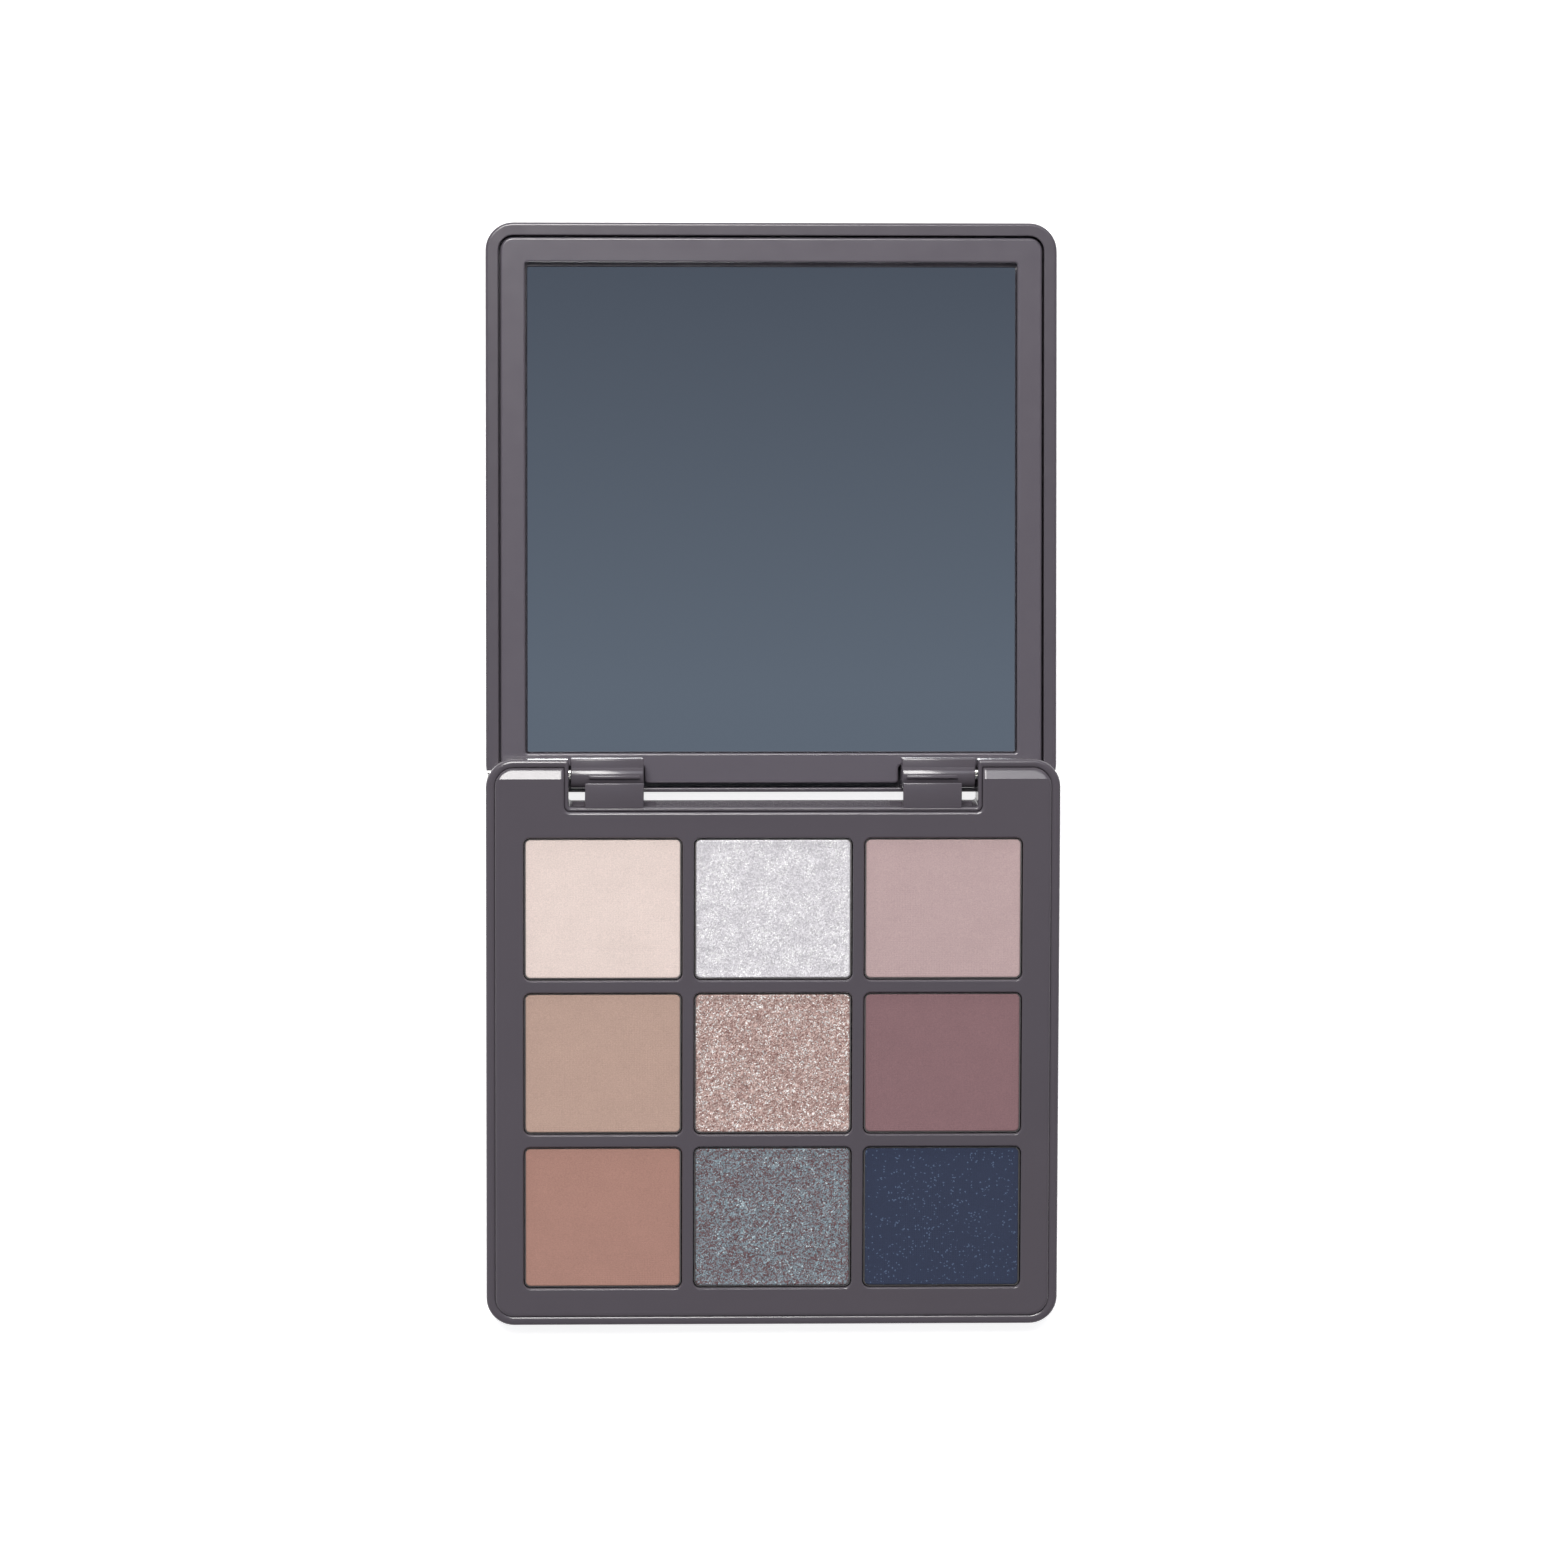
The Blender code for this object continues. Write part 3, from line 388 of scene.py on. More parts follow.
def rod(mesh, radius, x_low, x_high, ridges=0, depth=0.0):
    """A round rod along X, with ridges round it when it is knurled."""
    made = bmesh.ops.create_circle(mesh, cap_ends=True, radius=radius, segments=2 * ridges or 40)["verts"]
    if ridges:
        bmesh.ops.scale(mesh, vec=[1 - depth / radius] * 3, verts=made[::2])
    bmesh.ops.rotate(mesh, matrix=Matrix.Rotation(math.pi / 2, 3, "Y"), verts=made)
    bmesh.ops.translate(mesh, vec=(x_low, 0, 0), verts=made)
    drawn_out(mesh, made[0].link_faces[0], x_high - x_low)


def arc(radius, start, end, steps, centre=(0.0, 0.0)):
    """Points along a round stretch of a profile."""
    angles = [start + (end - start) * k / steps for k in range(steps + 1)]
    return [(centre[0] + radius * math.cos(a), centre[1] + radius * math.sin(a)) for a in angles]


def both_sides(low, high):
    """A span in +X and its mirror image in -X."""
    return [(low, high), (-high, -low)]


def faced_out(mesh):
    """Turns every face outwards."""
    bmesh.ops.recalc_face_normals(mesh, faces=mesh.faces[:])


def link(mesh, name):
    """Makes an object from a finished bmesh."""
    data = bpy.data.meshes.new(name)
    mesh.to_mesh(data)
    mesh.free()
    made = bpy.data.objects.new(name, data)
    bpy.context.scene.collection.objects.link(made)
    return made


def combine(made, additions=(), cuts=()):
    """Joins helper objects to an object or cuts them away, in millimetres for the solver's sake."""
    for item in (made, *additions, *cuts):
        item.data.transform(Matrix.Scale(1 / MM, 4))
    for helper in additions + cuts:
        modifier = made.modifiers.new(helper.name, "BOOLEAN")
        modifier.operation = "UNION" if helper in additions else "DIFFERENCE"
        modifier.solver = "EXACT"
        modifier.object = helper
    graph = bpy.context.evaluated_depsgraph_get()
    data = bpy.data.meshes.new_from_object(made.evaluated_get(graph))
    made.modifiers.clear()
    made.data = data
    made.data.transform(Matrix.Scale(MM, 4))
    for helper in additions + cuts:
        bpy.data.objects.remove(helper)


def finished(made, half, body, material, slot, *nodes, angle=38.0):
    """Puts a piece in place, smooths its round stretches, dresses it and lets it ride with its half."""
    made.data.transform(half)
    made.data.shade_smooth()
    made.data.set_sharp_from_angle(angle=math.radians(angle))
    made.data.materials.clear()
    made.data.materials.append(material)
    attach(made, body)
    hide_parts(*nodes)
    return made


# Finishes


def per(millimetres):
    """A texture scale that gives a feature this size on coordinates in metres."""
    return 1 / (millimetres * MM)


def feed(tree, node, inputs):
    """Sets a node's inputs: each is a value, another node's output, or a node for its first output."""
    for name, value in inputs.items():
        if isinstance(value, bpy.types.Node):
            value = value.outputs[0]
        if isinstance(value, bpy.types.NodeSocket):
            tree.links.new(value, node.inputs[name])
        else:
            node.inputs[name].default_value = value


def add(tree, kind, inputs, **settings):
    """Adds a node with its own settings and feeds its inputs."""
    made = tree.nodes.new("ShaderNode" + kind)
    for name, value in settings.items():
        setattr(made, name, value)
    feed(tree, made, inputs)
    return made


def new_material(name, **sockets):
    """A material with its shader's own sockets set; gives back it, its tree, shader and coordinates."""
    made = bpy.data.materials.new(name)
    made.use_nodes = True
    tree = made.node_tree
    shader = tree.nodes["Principled BSDF"]
    feed(tree, shader, {socket.replace("_", " "): value for socket, value in sockets.items()})
    return made, tree, shader, add(tree, "TexCoord", {}).outputs["Object"]


def satin_moulded_abs(name, tint):
    """Injection-moulded ABS under a satin soft-touch lacquer: an even warm grey that stays calm on flats
    and draws a thin clear highlight along every rounded edge, with a very fine mould grain close up."""
    made, tree, shader, place = new_material(name, IOR=1.5)
    mottle = add(tree, "TexNoise", {"Vector": place, "Scale": per(9.0), "Detail": 3.0, "Roughness": 0.5})
    stretch = {"From Min": 0.3, "From Max": 0.7, "To Min": 0.985, "To Max": 1.015}
    shade = add(tree, "MapRange", {"Value": mottle, **stretch})
    base = add(tree, "VectorMath", {0: tint, "Scale": shade}, operation="SCALE")
    rub = add(tree, "TexNoise", {"Vector": place, "Scale": per(2.5), "Detail": 4.0})
    gloss = add(tree, "MapRange", {"Value": rub, "To Min": 0.15, "To Max": 0.21})
    grain = add(tree, "TexNoise", {"Vector": place, "Scale": per(0.18), "Detail": 2.0})
    bump = add(tree, "Bump", {"Height": grain, "Strength": 0.25, "Distance": 0.004 * MM})
    feed(tree, shader, {"Base Color": base, "Roughness": gloss, "Normal": bump})
    return made


def silvered_glass(tint):
    """Float glass silvered on its back: a clear picture of what is above it, just off neutral, under a
    faint uneven film."""
    own = {"Base_Color": (*tint, 1.0), "Metallic": 1.0, "Coat_Weight": 1.0, "Coat_Roughness": 0.0}
    made, tree, shader, place = new_material("silvered_float_glass", **own)
    haze = add(tree, "TexNoise", {"Vector": place, "Scale": per(14.0), "Detail": 3.0})
    film = add(tree, "MapRange", {"Value": haze, "To Min": 0.02, "To Max": 0.035})
    feed(tree, shader, {"Roughness": film})
    return made


def ground_glass_edge(tint):
    """The ground edge of float glass: a matt sea green that reads as a thin dark line."""
    own = {"Base_Color": (*tint, 1.0), "IOR": 1.52, "Roughness": 0.55}
    made, tree, shader, place = new_material("ground_glass_edge", **own)
    scratches = add(tree, "TexNoise", {"Vector": place, "Scale": per(0.3), "Detail": 3.0})
    bump = add(tree, "Bump", {"Height": scratches, "Strength": 0.4, "Distance": 0.02 * MM})
    feed(tree, shader, {"Normal": bump})
    return made


def cloth_relief(tree, place, spacing):
    """Height of the woven press cloth's print: crossed threads, waved a little by hand."""
    threads = []
    for direction, turn in (("X", 1.0), ("Y", 0.8)):
        scale = math.pi / 10 * per(spacing * turn)
        inputs = {"Vector": place, "Scale": scale, "Distortion": 1.4, "Detail": 2.0, "Detail Scale": 0.6}
        threads.append(add(tree, "TexWave", inputs, bands_direction=direction).outputs["Fac"])
    return add(tree, "Math", {0: threads[0], 1: threads[1]}, operation="ADD")


def pressed_matte(name, tint, thread=0.42, print_depth=0.009, speck=None, speck_share=0.0):
    """Talc and mica pressed under a woven cloth: a dry velvety face with the faint print of the threads
    and slightly uneven pigment, and in the darkest shade a few loose specks of mica."""
    own = {"Roughness": 0.92, "IOR": 1.45, "Sheen_Weight": 0.12, "Sheen_Roughness": 0.6}
    made, tree, shader, place = new_material(name, **own)
    drift = add(tree, "TexNoise", {"Vector": place, "Scale": per(5.0), "Detail": 4.0, "Roughness": 0.6})
    fine = add(tree, "TexNoise", {"Vector": place, "Scale": per(0.2), "Detail": 3.0, "Roughness": 0.7})
    cloth = cloth_relief(tree, place, thread)
    stretch = {"From Min": 0.3, "From Max": 0.7, "To Min": 0.97, "To Max": 1.03}
    wide = add(tree, "MapRange", {"Value": drift, **stretch})
    stretch = {"From Min": 0.25, "From Max": 0.75, "To Min": 0.84, "To Max": 1.16}
    near = add(tree, "MapRange", {"Value": fine, **stretch})
    shade = add(tree, "Math", {0: wide, 1: near}, operation="MULTIPLY")
    base = add(tree, "VectorMath", {0: tint, "Scale": shade}, operation="SCALE")
    if speck:
        cells = add(tree, "TexVoronoi", {"Vector": place, "Scale": per(0.2)}).outputs["Color"]
        chance = add(tree, "SeparateColor", {"Color": cells})
        hit = add(tree, "Math", {0: chance, 1: 1 - speck_share}, operation="GREATER_THAN")
        base = add(tree, "Mix", {"Factor": hit, 6: base, 7: (*speck, 1.0)}, data_type="RGBA").outputs[2]
    height = add(tree, "Math", {0: cloth, 1: fine}, operation="ADD")
    bump = add(tree, "Bump", {"Height": height, "Strength": 1.0, "Distance": print_depth * MM})
    feed(tree, shader, {"Base Color": base, "Normal": bump})
    return made


def pressed_shimmer(name, binder, mica, painted_glint_tint, flake, share, painted_glint_share, tilt, streak):
    """Powder packed with mica flakes laid at every angle: most flakes are satin, some carry a painted glint,
    plain white put into their colour, and the binder shows dark between them. The flakes are drawn about
    twice their size so that they show."""
    made, tree, shader, place = new_material(name, IOR=1.5)
    wave = add(tree, "TexNoise", {"Vector": place, "Scale": per(0.5), "Detail": 2.0}).outputs["Color"]
    bent = add(tree, "VectorMath", {0: wave, "Scale": 0.25 * MM}, operation="SCALE")
    moved = add(tree, "VectorMath", {0: place, 1: bent}, operation="ADD")
    cells = add(tree, "TexVoronoi", {"Vector": moved, "Scale": per(flake)}).outputs["Color"]
    chance = add(tree, "SeparateColor", {"Color": cells})
    clump = add(tree, "TexNoise", {"Vector": place, "Scale": per(3.0), "Detail": 4.0, "Roughness": 0.65})
    stretch = {"From Min": 0.3, "From Max": 0.7, "To Min": -0.5 * streak, "To Max": 0.5 * streak}
    lifted = add(tree, "MapRange", {"Value": clump, **stretch})
    rank = add(tree, "Math", {0: chance, 1: lifted}, operation="ADD")
    lit = add(tree, "MapRange", {"Value": rank, "From Min": 1 - share - 0.3, "From Max": 1 - share + 0.3})
    tints = {6: (*binder, 1.0), 7: (*mica, 1.0)}
    flakes = add(tree, "Mix", {"Factor": lit, **tints}, data_type="RGBA").outputs[2]
    # Painted glint: the highest-ranked flakes take a white colour that stands for light caught on them.
    painted_glint = add(tree, "Math", {0: rank, 1: 1 - painted_glint_share}, operation="GREATER_THAN")
    colours = add(tree, "Mix", {"Factor": painted_glint, 6: flakes, 7: (*painted_glint_tint, 1.0)}, data_type="RGBA").outputs[2]
    metal = add(tree, "MapRange", {"Value": lit, "To Min": 0.05, "To Max": 0.4})
    gloss = add(tree, "MapRange", {"Value": chance.outputs["Green"], "To Min": 0.35, "To Max": 0.7})
    centred = add(tree, "VectorMath", {0: cells, 1: (-0.5, -0.5, -0.5)}, operation="ADD")
    tipped = add(tree, "VectorMath", {0: centred, "Scale": tilt}, operation="SCALE")
    facing = add(tree, "NewGeometry", {}).outputs["Normal"]
    leaned = add(tree, "VectorMath", {0: facing, 1: tipped}, operation="ADD")
    normal = add(tree, "VectorMath", {0: leaned}, operation="NORMALIZE")
    feed(tree, shader, {"Base Color": colours, "Metallic": metal, "Roughness": gloss, "Normal": normal})
    return made


def rolled_metal(name, tint, roughness, grain=0.6, depth=0.01):
    """Bright sheet or turned steel: a hard grey shine broken by fine drawn lines."""
    made, tree, shader, place = new_material(name, Base_Color=(*tint, 1.0), Metallic=1.0)
    drawn = add(tree, "Mapping", {"Vector": place, "Scale": (0.1, 1.0, 1.0)})
    lines = add(tree, "TexNoise", {"Vector": drawn, "Scale": per(grain), "Detail": 3.0})
    gloss = add(tree, "MapRange", {"Value": lines, "To Min": roughness * 0.8, "To Max": roughness * 1.2})
    bump = add(tree, "Bump", {"Height": lines, "Strength": 0.3, "Distance": depth * MM})
    feed(tree, shader, {"Roughness": gloss, "Normal": bump})
    return made


def soft_layer(name, tint, roughness, feature, depth, subsurface=0.0):
    """A soft or fibrous layer, such as hot-melt glue, foam tape or label film: mottled and dull."""
    made, tree, shader, place = new_material(name, Roughness=roughness, Subsurface_Weight=subsurface)
    mottle = add(tree, "TexNoise", {"Vector": place, "Scale": per(feature), "Detail": 4.0})
    shade = add(tree, "MapRange", {"Value": mottle, "To Min": 0.9, "To Max": 1.1})
    base = add(tree, "VectorMath", {0: tint, "Scale": shade}, operation="SCALE")
    bump = add(tree, "Bump", {"Height": mottle, "Strength": 0.5, "Distance": depth * MM})
    feed(tree, shader, {"Base Color": base, "Normal": bump})
    return made


# Pieces


class PALETTE_OT_base_shell(Operator):
    """The tray's outer shell, with its hinge notch, tongues and pin bores"""

    bl_idname = "palette.base_shell"
    bl_label = "Base Shell"

    def execute(self, context):
        body, deck, hinge = group("body"), group("deck"), group("hinge")
        low, high = half_box("base_shell", BASE)
        notch = hinge.knuckle_inner + hinge.knuckle_width + hinge.side_gap

        def outline(height, inset=0.0):
            depth = (high.z - height) / (high.z - low.z)
            front = body.notch_draft * depth - body.notch_top
            back = (high.x, high.y - body.undercut * depth)
            corners = notched(low, back, notch, front, body.corner, body.notch_corner, body.ear_corner)
            return moved_in(corners, inset), height

        mesh = bmesh.new()
        levels = [outline(low.z + drop, inset) for inset, drop in reversed(quarter(body.edge))]
        bottom, top = lofted(mesh, levels + [outline(high.z - body.rim_drop)])
        seat = half_box("pan_deck", BASE)[1].z - deck.plate - SEAT_GAP
        recess = deck_corners(body.parting)
        mouth, floor = lofted(mesh, [(recess, high.z - body.inner_drop), (recess, seat)])
        cavity_low = (low.x + body.wall, low.y + body.wall)
        cavity_high = (high.x - body.wall, -body.notch_top - body.block)
        cavity = rectangle(cavity_low, cavity_high, body.cavity_corner)
        hollow, _ = lofted(mesh, [(cavity, seat), (cavity, low.z + body.floor)])
        label_low, label_high = half_box("bottom_label", BASE)
        sunk = rectangle(label_low, label_high, body.cavity_corner, -body.label_gap)
        edge, _ = lofted(mesh, [(sunk, low.z), (sunk, label_high.z)])
        opened(mesh, [floor, hollow])
        opened(mesh, [bottom, edge])
        outer, inner = list(top.edges), list(mouth.edges)
        bmesh.ops.delete(mesh, geom=[top, mouth], context="FACES_ONLY")
        crowned(mesh, outer, inner, body.rim_drop, body.inner_drop)
        faced_out(mesh)
        shell = link(mesh, "base_body")

        tongues = bmesh.new()
        for x_low, x_high in both_sides(hinge.knuckle_inner, hinge.knuckle_inner + hinge.tongue_width):
            root = (x_low, -body.notch_top - body.notch_rim / 2, high.z - hinge.tongue_thickness)
            block(tongues, root, (x_high, -hinge.tongue_tip, high.z), hinge.softening)
        pockets = bmesh.new()
        beside = hinge.knuckle_inner + hinge.tongue_width
        spans = both_sides(beside, beside + hinge.pocket_width)
        spans += both_sides(hinge.knuckle_inner - hinge.pocket_width, hinge.knuckle_inner)
        for x_low, x_high in spans:
            back = (x_low, -body.notch_top - hinge.pocket_depth, low.z + hinge.pocket_floor)
            block(pockets, back, (x_high, -hinge.tongue_tip, high.z - hinge.pocket_roof))
        pin_low, pin_high = half_box("hinge_pin_right", BASE)
        bores = bmesh.new()
        for x_low, x_high in both_sides(notch - MM, high.x + MM):
            rod(bores, (pin_high.z - pin_low.z) / 2 + hinge.bore_gap, x_low, x_high)
        combine(shell, (link(tongues, "tongues"),), (link(pockets, "pockets"), link(bores, "bores")))
        finished(shell, BASE, "base", shared("abs"), "base_plastic", "base_shell")
        return {"FINISHED"}


def notched(low, high, notch, notch_y, corner, notch_corner, ear_corner):
    """Outline of the base or of its deck: a square with the hinge notch between two ears at its rear."""
    return [
        (low[0], low[1], corner),
        (high[0], low[1], corner),
        (high[0], high[1], corner),
        (notch, high[1], ear_corner),
        (notch, notch_y, notch_corner),
        (-notch, notch_y, notch_corner),
        (-notch, high[1], ear_corner),
        (low[0], high[1], corner),
    ]


def deck_corners(gap):
    """The deck's outline, larger by gap all round: the same lines cut the recess that it sits in."""
    body, deck, hinge = group("body"), group("deck"), group("hinge")
    low, high = half_box("pan_deck", BASE)
    side = body.notch_rim + deck.gap
    notch = hinge.knuckle_inner + hinge.knuckle_width + hinge.side_gap + side
    corner = body.corner - (low.x - half_box("base_shell", BASE)[0].x)
    corners = notched(low, high, notch, -body.notch_top - side, corner, deck.notch_corner, deck.ear_corner)
    return moved_in(corners, -gap)


def well_boxes():
    """(row, column, low corner, high corner) of each well, measured from its pan."""
    for row in range(1, ROWS + 1):
        for column in range(1, COLUMNS + 1):
            low, high = half_box(f"pan_{row}_{column}", BASE)
            yield row, column, low, high


class PALETTE_OT_pan_deck(Operator):
    """The deck that holds the pans, with nine wells and falling ears"""

    bl_idname = "palette.pan_deck"
    bl_label = "Pan Deck"

    def execute(self, context):
        deck = group("deck")
        low, high = half_box("pan_deck", BASE)
        seat = high.z - deck.plate
        mesh = bmesh.new()
        bottom, top = slab(mesh, deck_corners(0.0), seat, high.z, 0.0, deck.edge, deck.edge_fall)
        mouths = []
        wells = [(a, b) for _, _, a, b in well_boxes()]
        for well_low, well_high in wells:
            corners = rectangle(well_low, well_high, deck.well_corner, -deck.pan_gap)
            mouths.append(well(mesh, corners, high.z, low.z + deck.well_wall, deck.mouth)[0])
        opened(mesh, [top] + mouths)
        nearest = (min(a.x for a, _ in wells), min(a.y for a, _ in wells))
        furthest = (max(b.x for _, b in wells), max(b.y for _, b in wells))
        ring = rectangle(nearest, furthest, deck.well_corner, -deck.pan_gap - deck.well_wall)
        shoulder, _ = lofted(mesh, [(ring, seat), (ring, low.z)])
        opened(mesh, [bottom, shoulder])
        geometry = mesh.verts[:] + mesh.edges[:] + mesh.faces[:]
        bmesh.ops.bisect_plane(mesh, geom=geometry, plane_co=(0, -deck.fold, 0), plane_no=(0, 1, 0))
        slope = deck.fall / (high.y + deck.fold)
        for vert in mesh.verts:
            if vert.co.y > -deck.fold and vert.co.z > seat + SEAT_GAP:
                vert.co.z -= slope * (vert.co.y + deck.fold)
        bmesh.ops.remove_doubles(mesh, verts=mesh.verts[:], dist=LEVEL)
        faced_out(mesh)
        made = link(mesh, "deck")
        finished(made, BASE, "base", shared("abs"), "base_plastic", "pan_deck", angle=DECK_CREASE)
        return {"FINISHED"}


class PALETTE_OT_pans(Operator):
    """The nine pressed pans"""

    bl_idname = "palette.pans"
    bl_label = "Pans"

    def execute(self, context):
        sizes, deck = group("powder"), group("deck")
        # The pans' metal is darkened as painted shade for the deep gap round each powder.
        metal = shared("tinplate")
        for row, column, low, high in well_boxes():
            corners = rectangle(low, high, deck.well_corner - deck.pan_gap)
            mesh = bmesh.new()
            _, top = slab(mesh, corners, low.z, high.z, sizes.bend, 0.0)
            inside = moved_in(corners, sizes.sheet)
            mouth, _ = lofted(mesh, [(inside, high.z), (inside, low.z + sizes.sheet)])
            opened(mesh, [top, mouth])
            faced_out(mesh)
            name = f"pan_{row}_{column}"
            made = link(mesh, f"pressed_{name}")
            finished(made, BASE, "base", metal, "pan_tinplate", name)
        return {"FINISHED"}


class PALETTE_OT_powders(Operator):
    """The nine pressed powders, each with its own colour and finish"""

    bl_idname = "palette.powders"
    bl_label = "Powders"

    def execute(self, context):
        sizes, tints = group("powder"), group("colours")
        pearl = {"flake": 0.17, "share": 0.72, "painted_glint_share": 0.1, "tilt": 0.25, "streak": 0.45}
        rose = {"flake": 0.18, "share": 0.6, "painted_glint_share": 0.14, "tilt": 0.5, "streak": 0.2}
        blue = {"flake": 0.18, "share": 0.42, "painted_glint_share": 0.02, "tilt": 0.4, "streak": 0.2}
        specks = {"thread": 0.36, "print_depth": 0.014, "speck": linear("4C5C78"), "speck_share": 0.04}
        # The third colour given to each shimmer is its painted glint: white painted on the flakes that stand
        # for catching the light.
        pressings = {
            "ivory_matte": (pressed_matte, [tints.ivory], {}),
            "silver_pearl": (pressed_shimmer, [linear("C6C3C9"), tints.pearl, linear("FFFFFF")], pearl),
            "dusty_pink_matte": (pressed_matte, [tints.pink], {}),
            "sand_matte": (pressed_matte, [tints.sand], {}),
            "rose_glitter": (pressed_shimmer, [tints.rose, linear("CDB5AE"), linear("F7F4F2")], rose),
            "mauve_matte": (pressed_matte, [tints.mauve], {}),
            "terracotta_matte": (pressed_matte, [tints.terracotta], {}),
            "blue_glitter": (pressed_shimmer, [tints.plum, linear("8FA4AE"), linear("C9D9DE")], blue),
            "navy_satin": (pressed_matte, [tints.navy], specks),
        }
        for (row, column, low, high), (look, (press, hues, details)) in zip(well_boxes(), pressings.items()):
            name = f"powder_{row}_{column}"
            relief = sizes.relief if press is pressed_matte else sizes.shimmer_relief
            made = cake(f"pressed_{name}", low, high, half_box(name, BASE)[1].z, relief)
            finished(made, BASE, "base", press(f"pressed_{look}", *hues, **details), f"powder_{look}", name)
        return {"FINISHED"}


def cake(name, low, high, top, relief):
    """A pressed cake that covers its pan's rim, with a face that is nearly, but not quite, flat."""
    sizes, deck = group("powder"), group("deck")
    over = sizes.gap - deck.pan_gap
    mesh = bmesh.new()
    corners = rectangle(low, high, deck.well_corner - sizes.gap, over)
    slab(mesh, corners, high.z + RIM_GAP, top, 0.0, sizes.edge)
    faced_out(mesh)
    x_low, x_high, y_low, y_high = low.x + over, high.x - over, low.y + over, high.y - over
    for low_end, high_end, axis in ((x_low, x_high, 0), (y_low, y_high, 1)):
        length = high_end - low_end - 2 * sizes.edge
        count = round(length / sizes.cell)
        for k in range(1, count):
            place, across = Vector((0, 0, 0)), Vector((0, 0, 0))
            place[axis] = low_end + sizes.edge + length * k / count
            across[axis] = 1
            faces = [item for item in mesh.faces if abs(item.calc_center_median().z - top) < LEVEL]
            geometry = list({item for one in faces for item in (*one.verts, *one.edges, one)})
            bmesh.ops.bisect_plane(mesh, geom=geometry, plane_co=place, plane_no=across)
    for vert in mesh.verts:
        if abs(vert.co.z - top) < LEVEL:
            inside = min(vert.co.x - x_low, x_high - vert.co.x, vert.co.y - y_low, y_high - vert.co.y)
            share = min(1.0, max(0.0, (inside - sizes.edge) / MM))
            wave = noise.noise(vert.co * per(1.6)) + 0.5 * noise.noise(vert.co * per(0.7))
            vert.co.z -= share * relief * (1 + wave)
    return link(mesh, name)


class PALETTE_OT_lid_shell(Operator):
    """The lid's shell, with its rim, stiffening ribs and two hinge knuckles"""

    bl_idname = "palette.lid_shell"
    bl_label = "Lid Shell"

    def execute(self, context):
        body, lid, hinge = group("body"), group("lid"), group("hinge")
        low, high = half_box("lid_shell", LID)
        frame_low, frame_high = half_box("mirror_frame", LID)
        rim = frame_high.z + lid.rim_rise
        inner_floor = low.z + lid.floor
        mesh = bmesh.new()
        outside = rectangle((low.x, low.y), (high.x, high.y), body.corner)
        _, top = slab(mesh, outside, low.z, rim, body.edge, lid.rim_edge)
        recess_low = (low.x + lid.rim, low.y + lid.rear_rim)
        recess = rectangle(recess_low, (high.x - lid.rim, high.y - lid.rim), body.corner - lid.rim)
        mouth, _ = well(mesh, recess, rim, inner_floor, lid.inner_edge)
        opened(mesh, [top, mouth])
        faced_out(mesh)
        shell = link(mesh, "lid_body")

        spans = both_sides(hinge.knuckle_inner, hinge.knuckle_inner + hinge.knuckle_width)
        foot = inner_floor - lid.floor / 3  # rooted in the back, so that the union is one piece
        knuckles = bmesh.new()
        for x_low, x_high in spans:
            bar(knuckles, knuckle_profile(foot, frame_high.z), x_low, x_high, hinge.softening)
        ribs = bmesh.new()
        middle = hinge.knuckle_inner + hinge.tongue_width / 2
        for x_low, x_high in both_sides(middle - hinge.rib_width / 2, middle + hinge.rib_width / 2):
            block(ribs, (x_low, -hinge.rib_depth, MM), (x_high, 0.0, hinge.rib_radius), hinge.softening)
        stiffeners = bmesh.new()
        for k in range(lid.stiffeners):
            y = high.y * (k + 1) / (lid.stiffeners + 1)
            low_corner = (frame_low.x, y - lid.stiffener / 2, foot)
            block(stiffeners, low_corner, (frame_high.x, y + lid.stiffener / 2, frame_low.z - SEAT_GAP))
        pin_low, pin_high = half_box("hinge_pin_right", BASE)
        bores = bmesh.new()
        for x_low, x_high in both_sides(pin_low.x - hinge.bore_end, spans[0][1] + MM):
            rod(bores, (pin_high.z - pin_low.z) / 2 + hinge.bore_gap, x_low, x_high)
        additions = (link(knuckles, "knuckles"), link(ribs, "ribs"), link(stiffeners, "stiffeners"))
        combine(shell, additions, (link(bores, "bores"),))
        finished(shell, LID, "lid", shared("abs"), "lid_plastic", "lid_shell", angle=30.0)
        return {"FINISHED"}


def knuckle_profile(foot, step):
    """The (y, z) outline of a knuckle: a column out of the lid, a barrel on the axis and a lip in front."""
    hinge, lid = group("hinge"), group("lid")
    rear = lid.rear_rim / 2 - lid.axis_inset
    start = -math.acos(hinge.knuckle_front / hinge.lip_sweep)
    end = -math.acos(hinge.lip_reach / hinge.lip_sweep)
    points = [(hinge.knuckle_front, foot)]
    points += arc(hinge.lip_sweep, start, end, 14)
    corner = (hinge.lip_reach - hinge.lip_round, hinge.lip_top - hinge.lip_round)
    points += arc(hinge.lip_round, 0.0, math.pi / 2, 6, corner)
    points += arc(hinge.knuckle_radius, math.asin(hinge.lip_top / hinge.knuckle_radius), math.pi, 24)
    points += [(-hinge.knuckle_radius, step), (rear, step + rear + hinge.knuckle_radius), (rear, foot)]
    return points


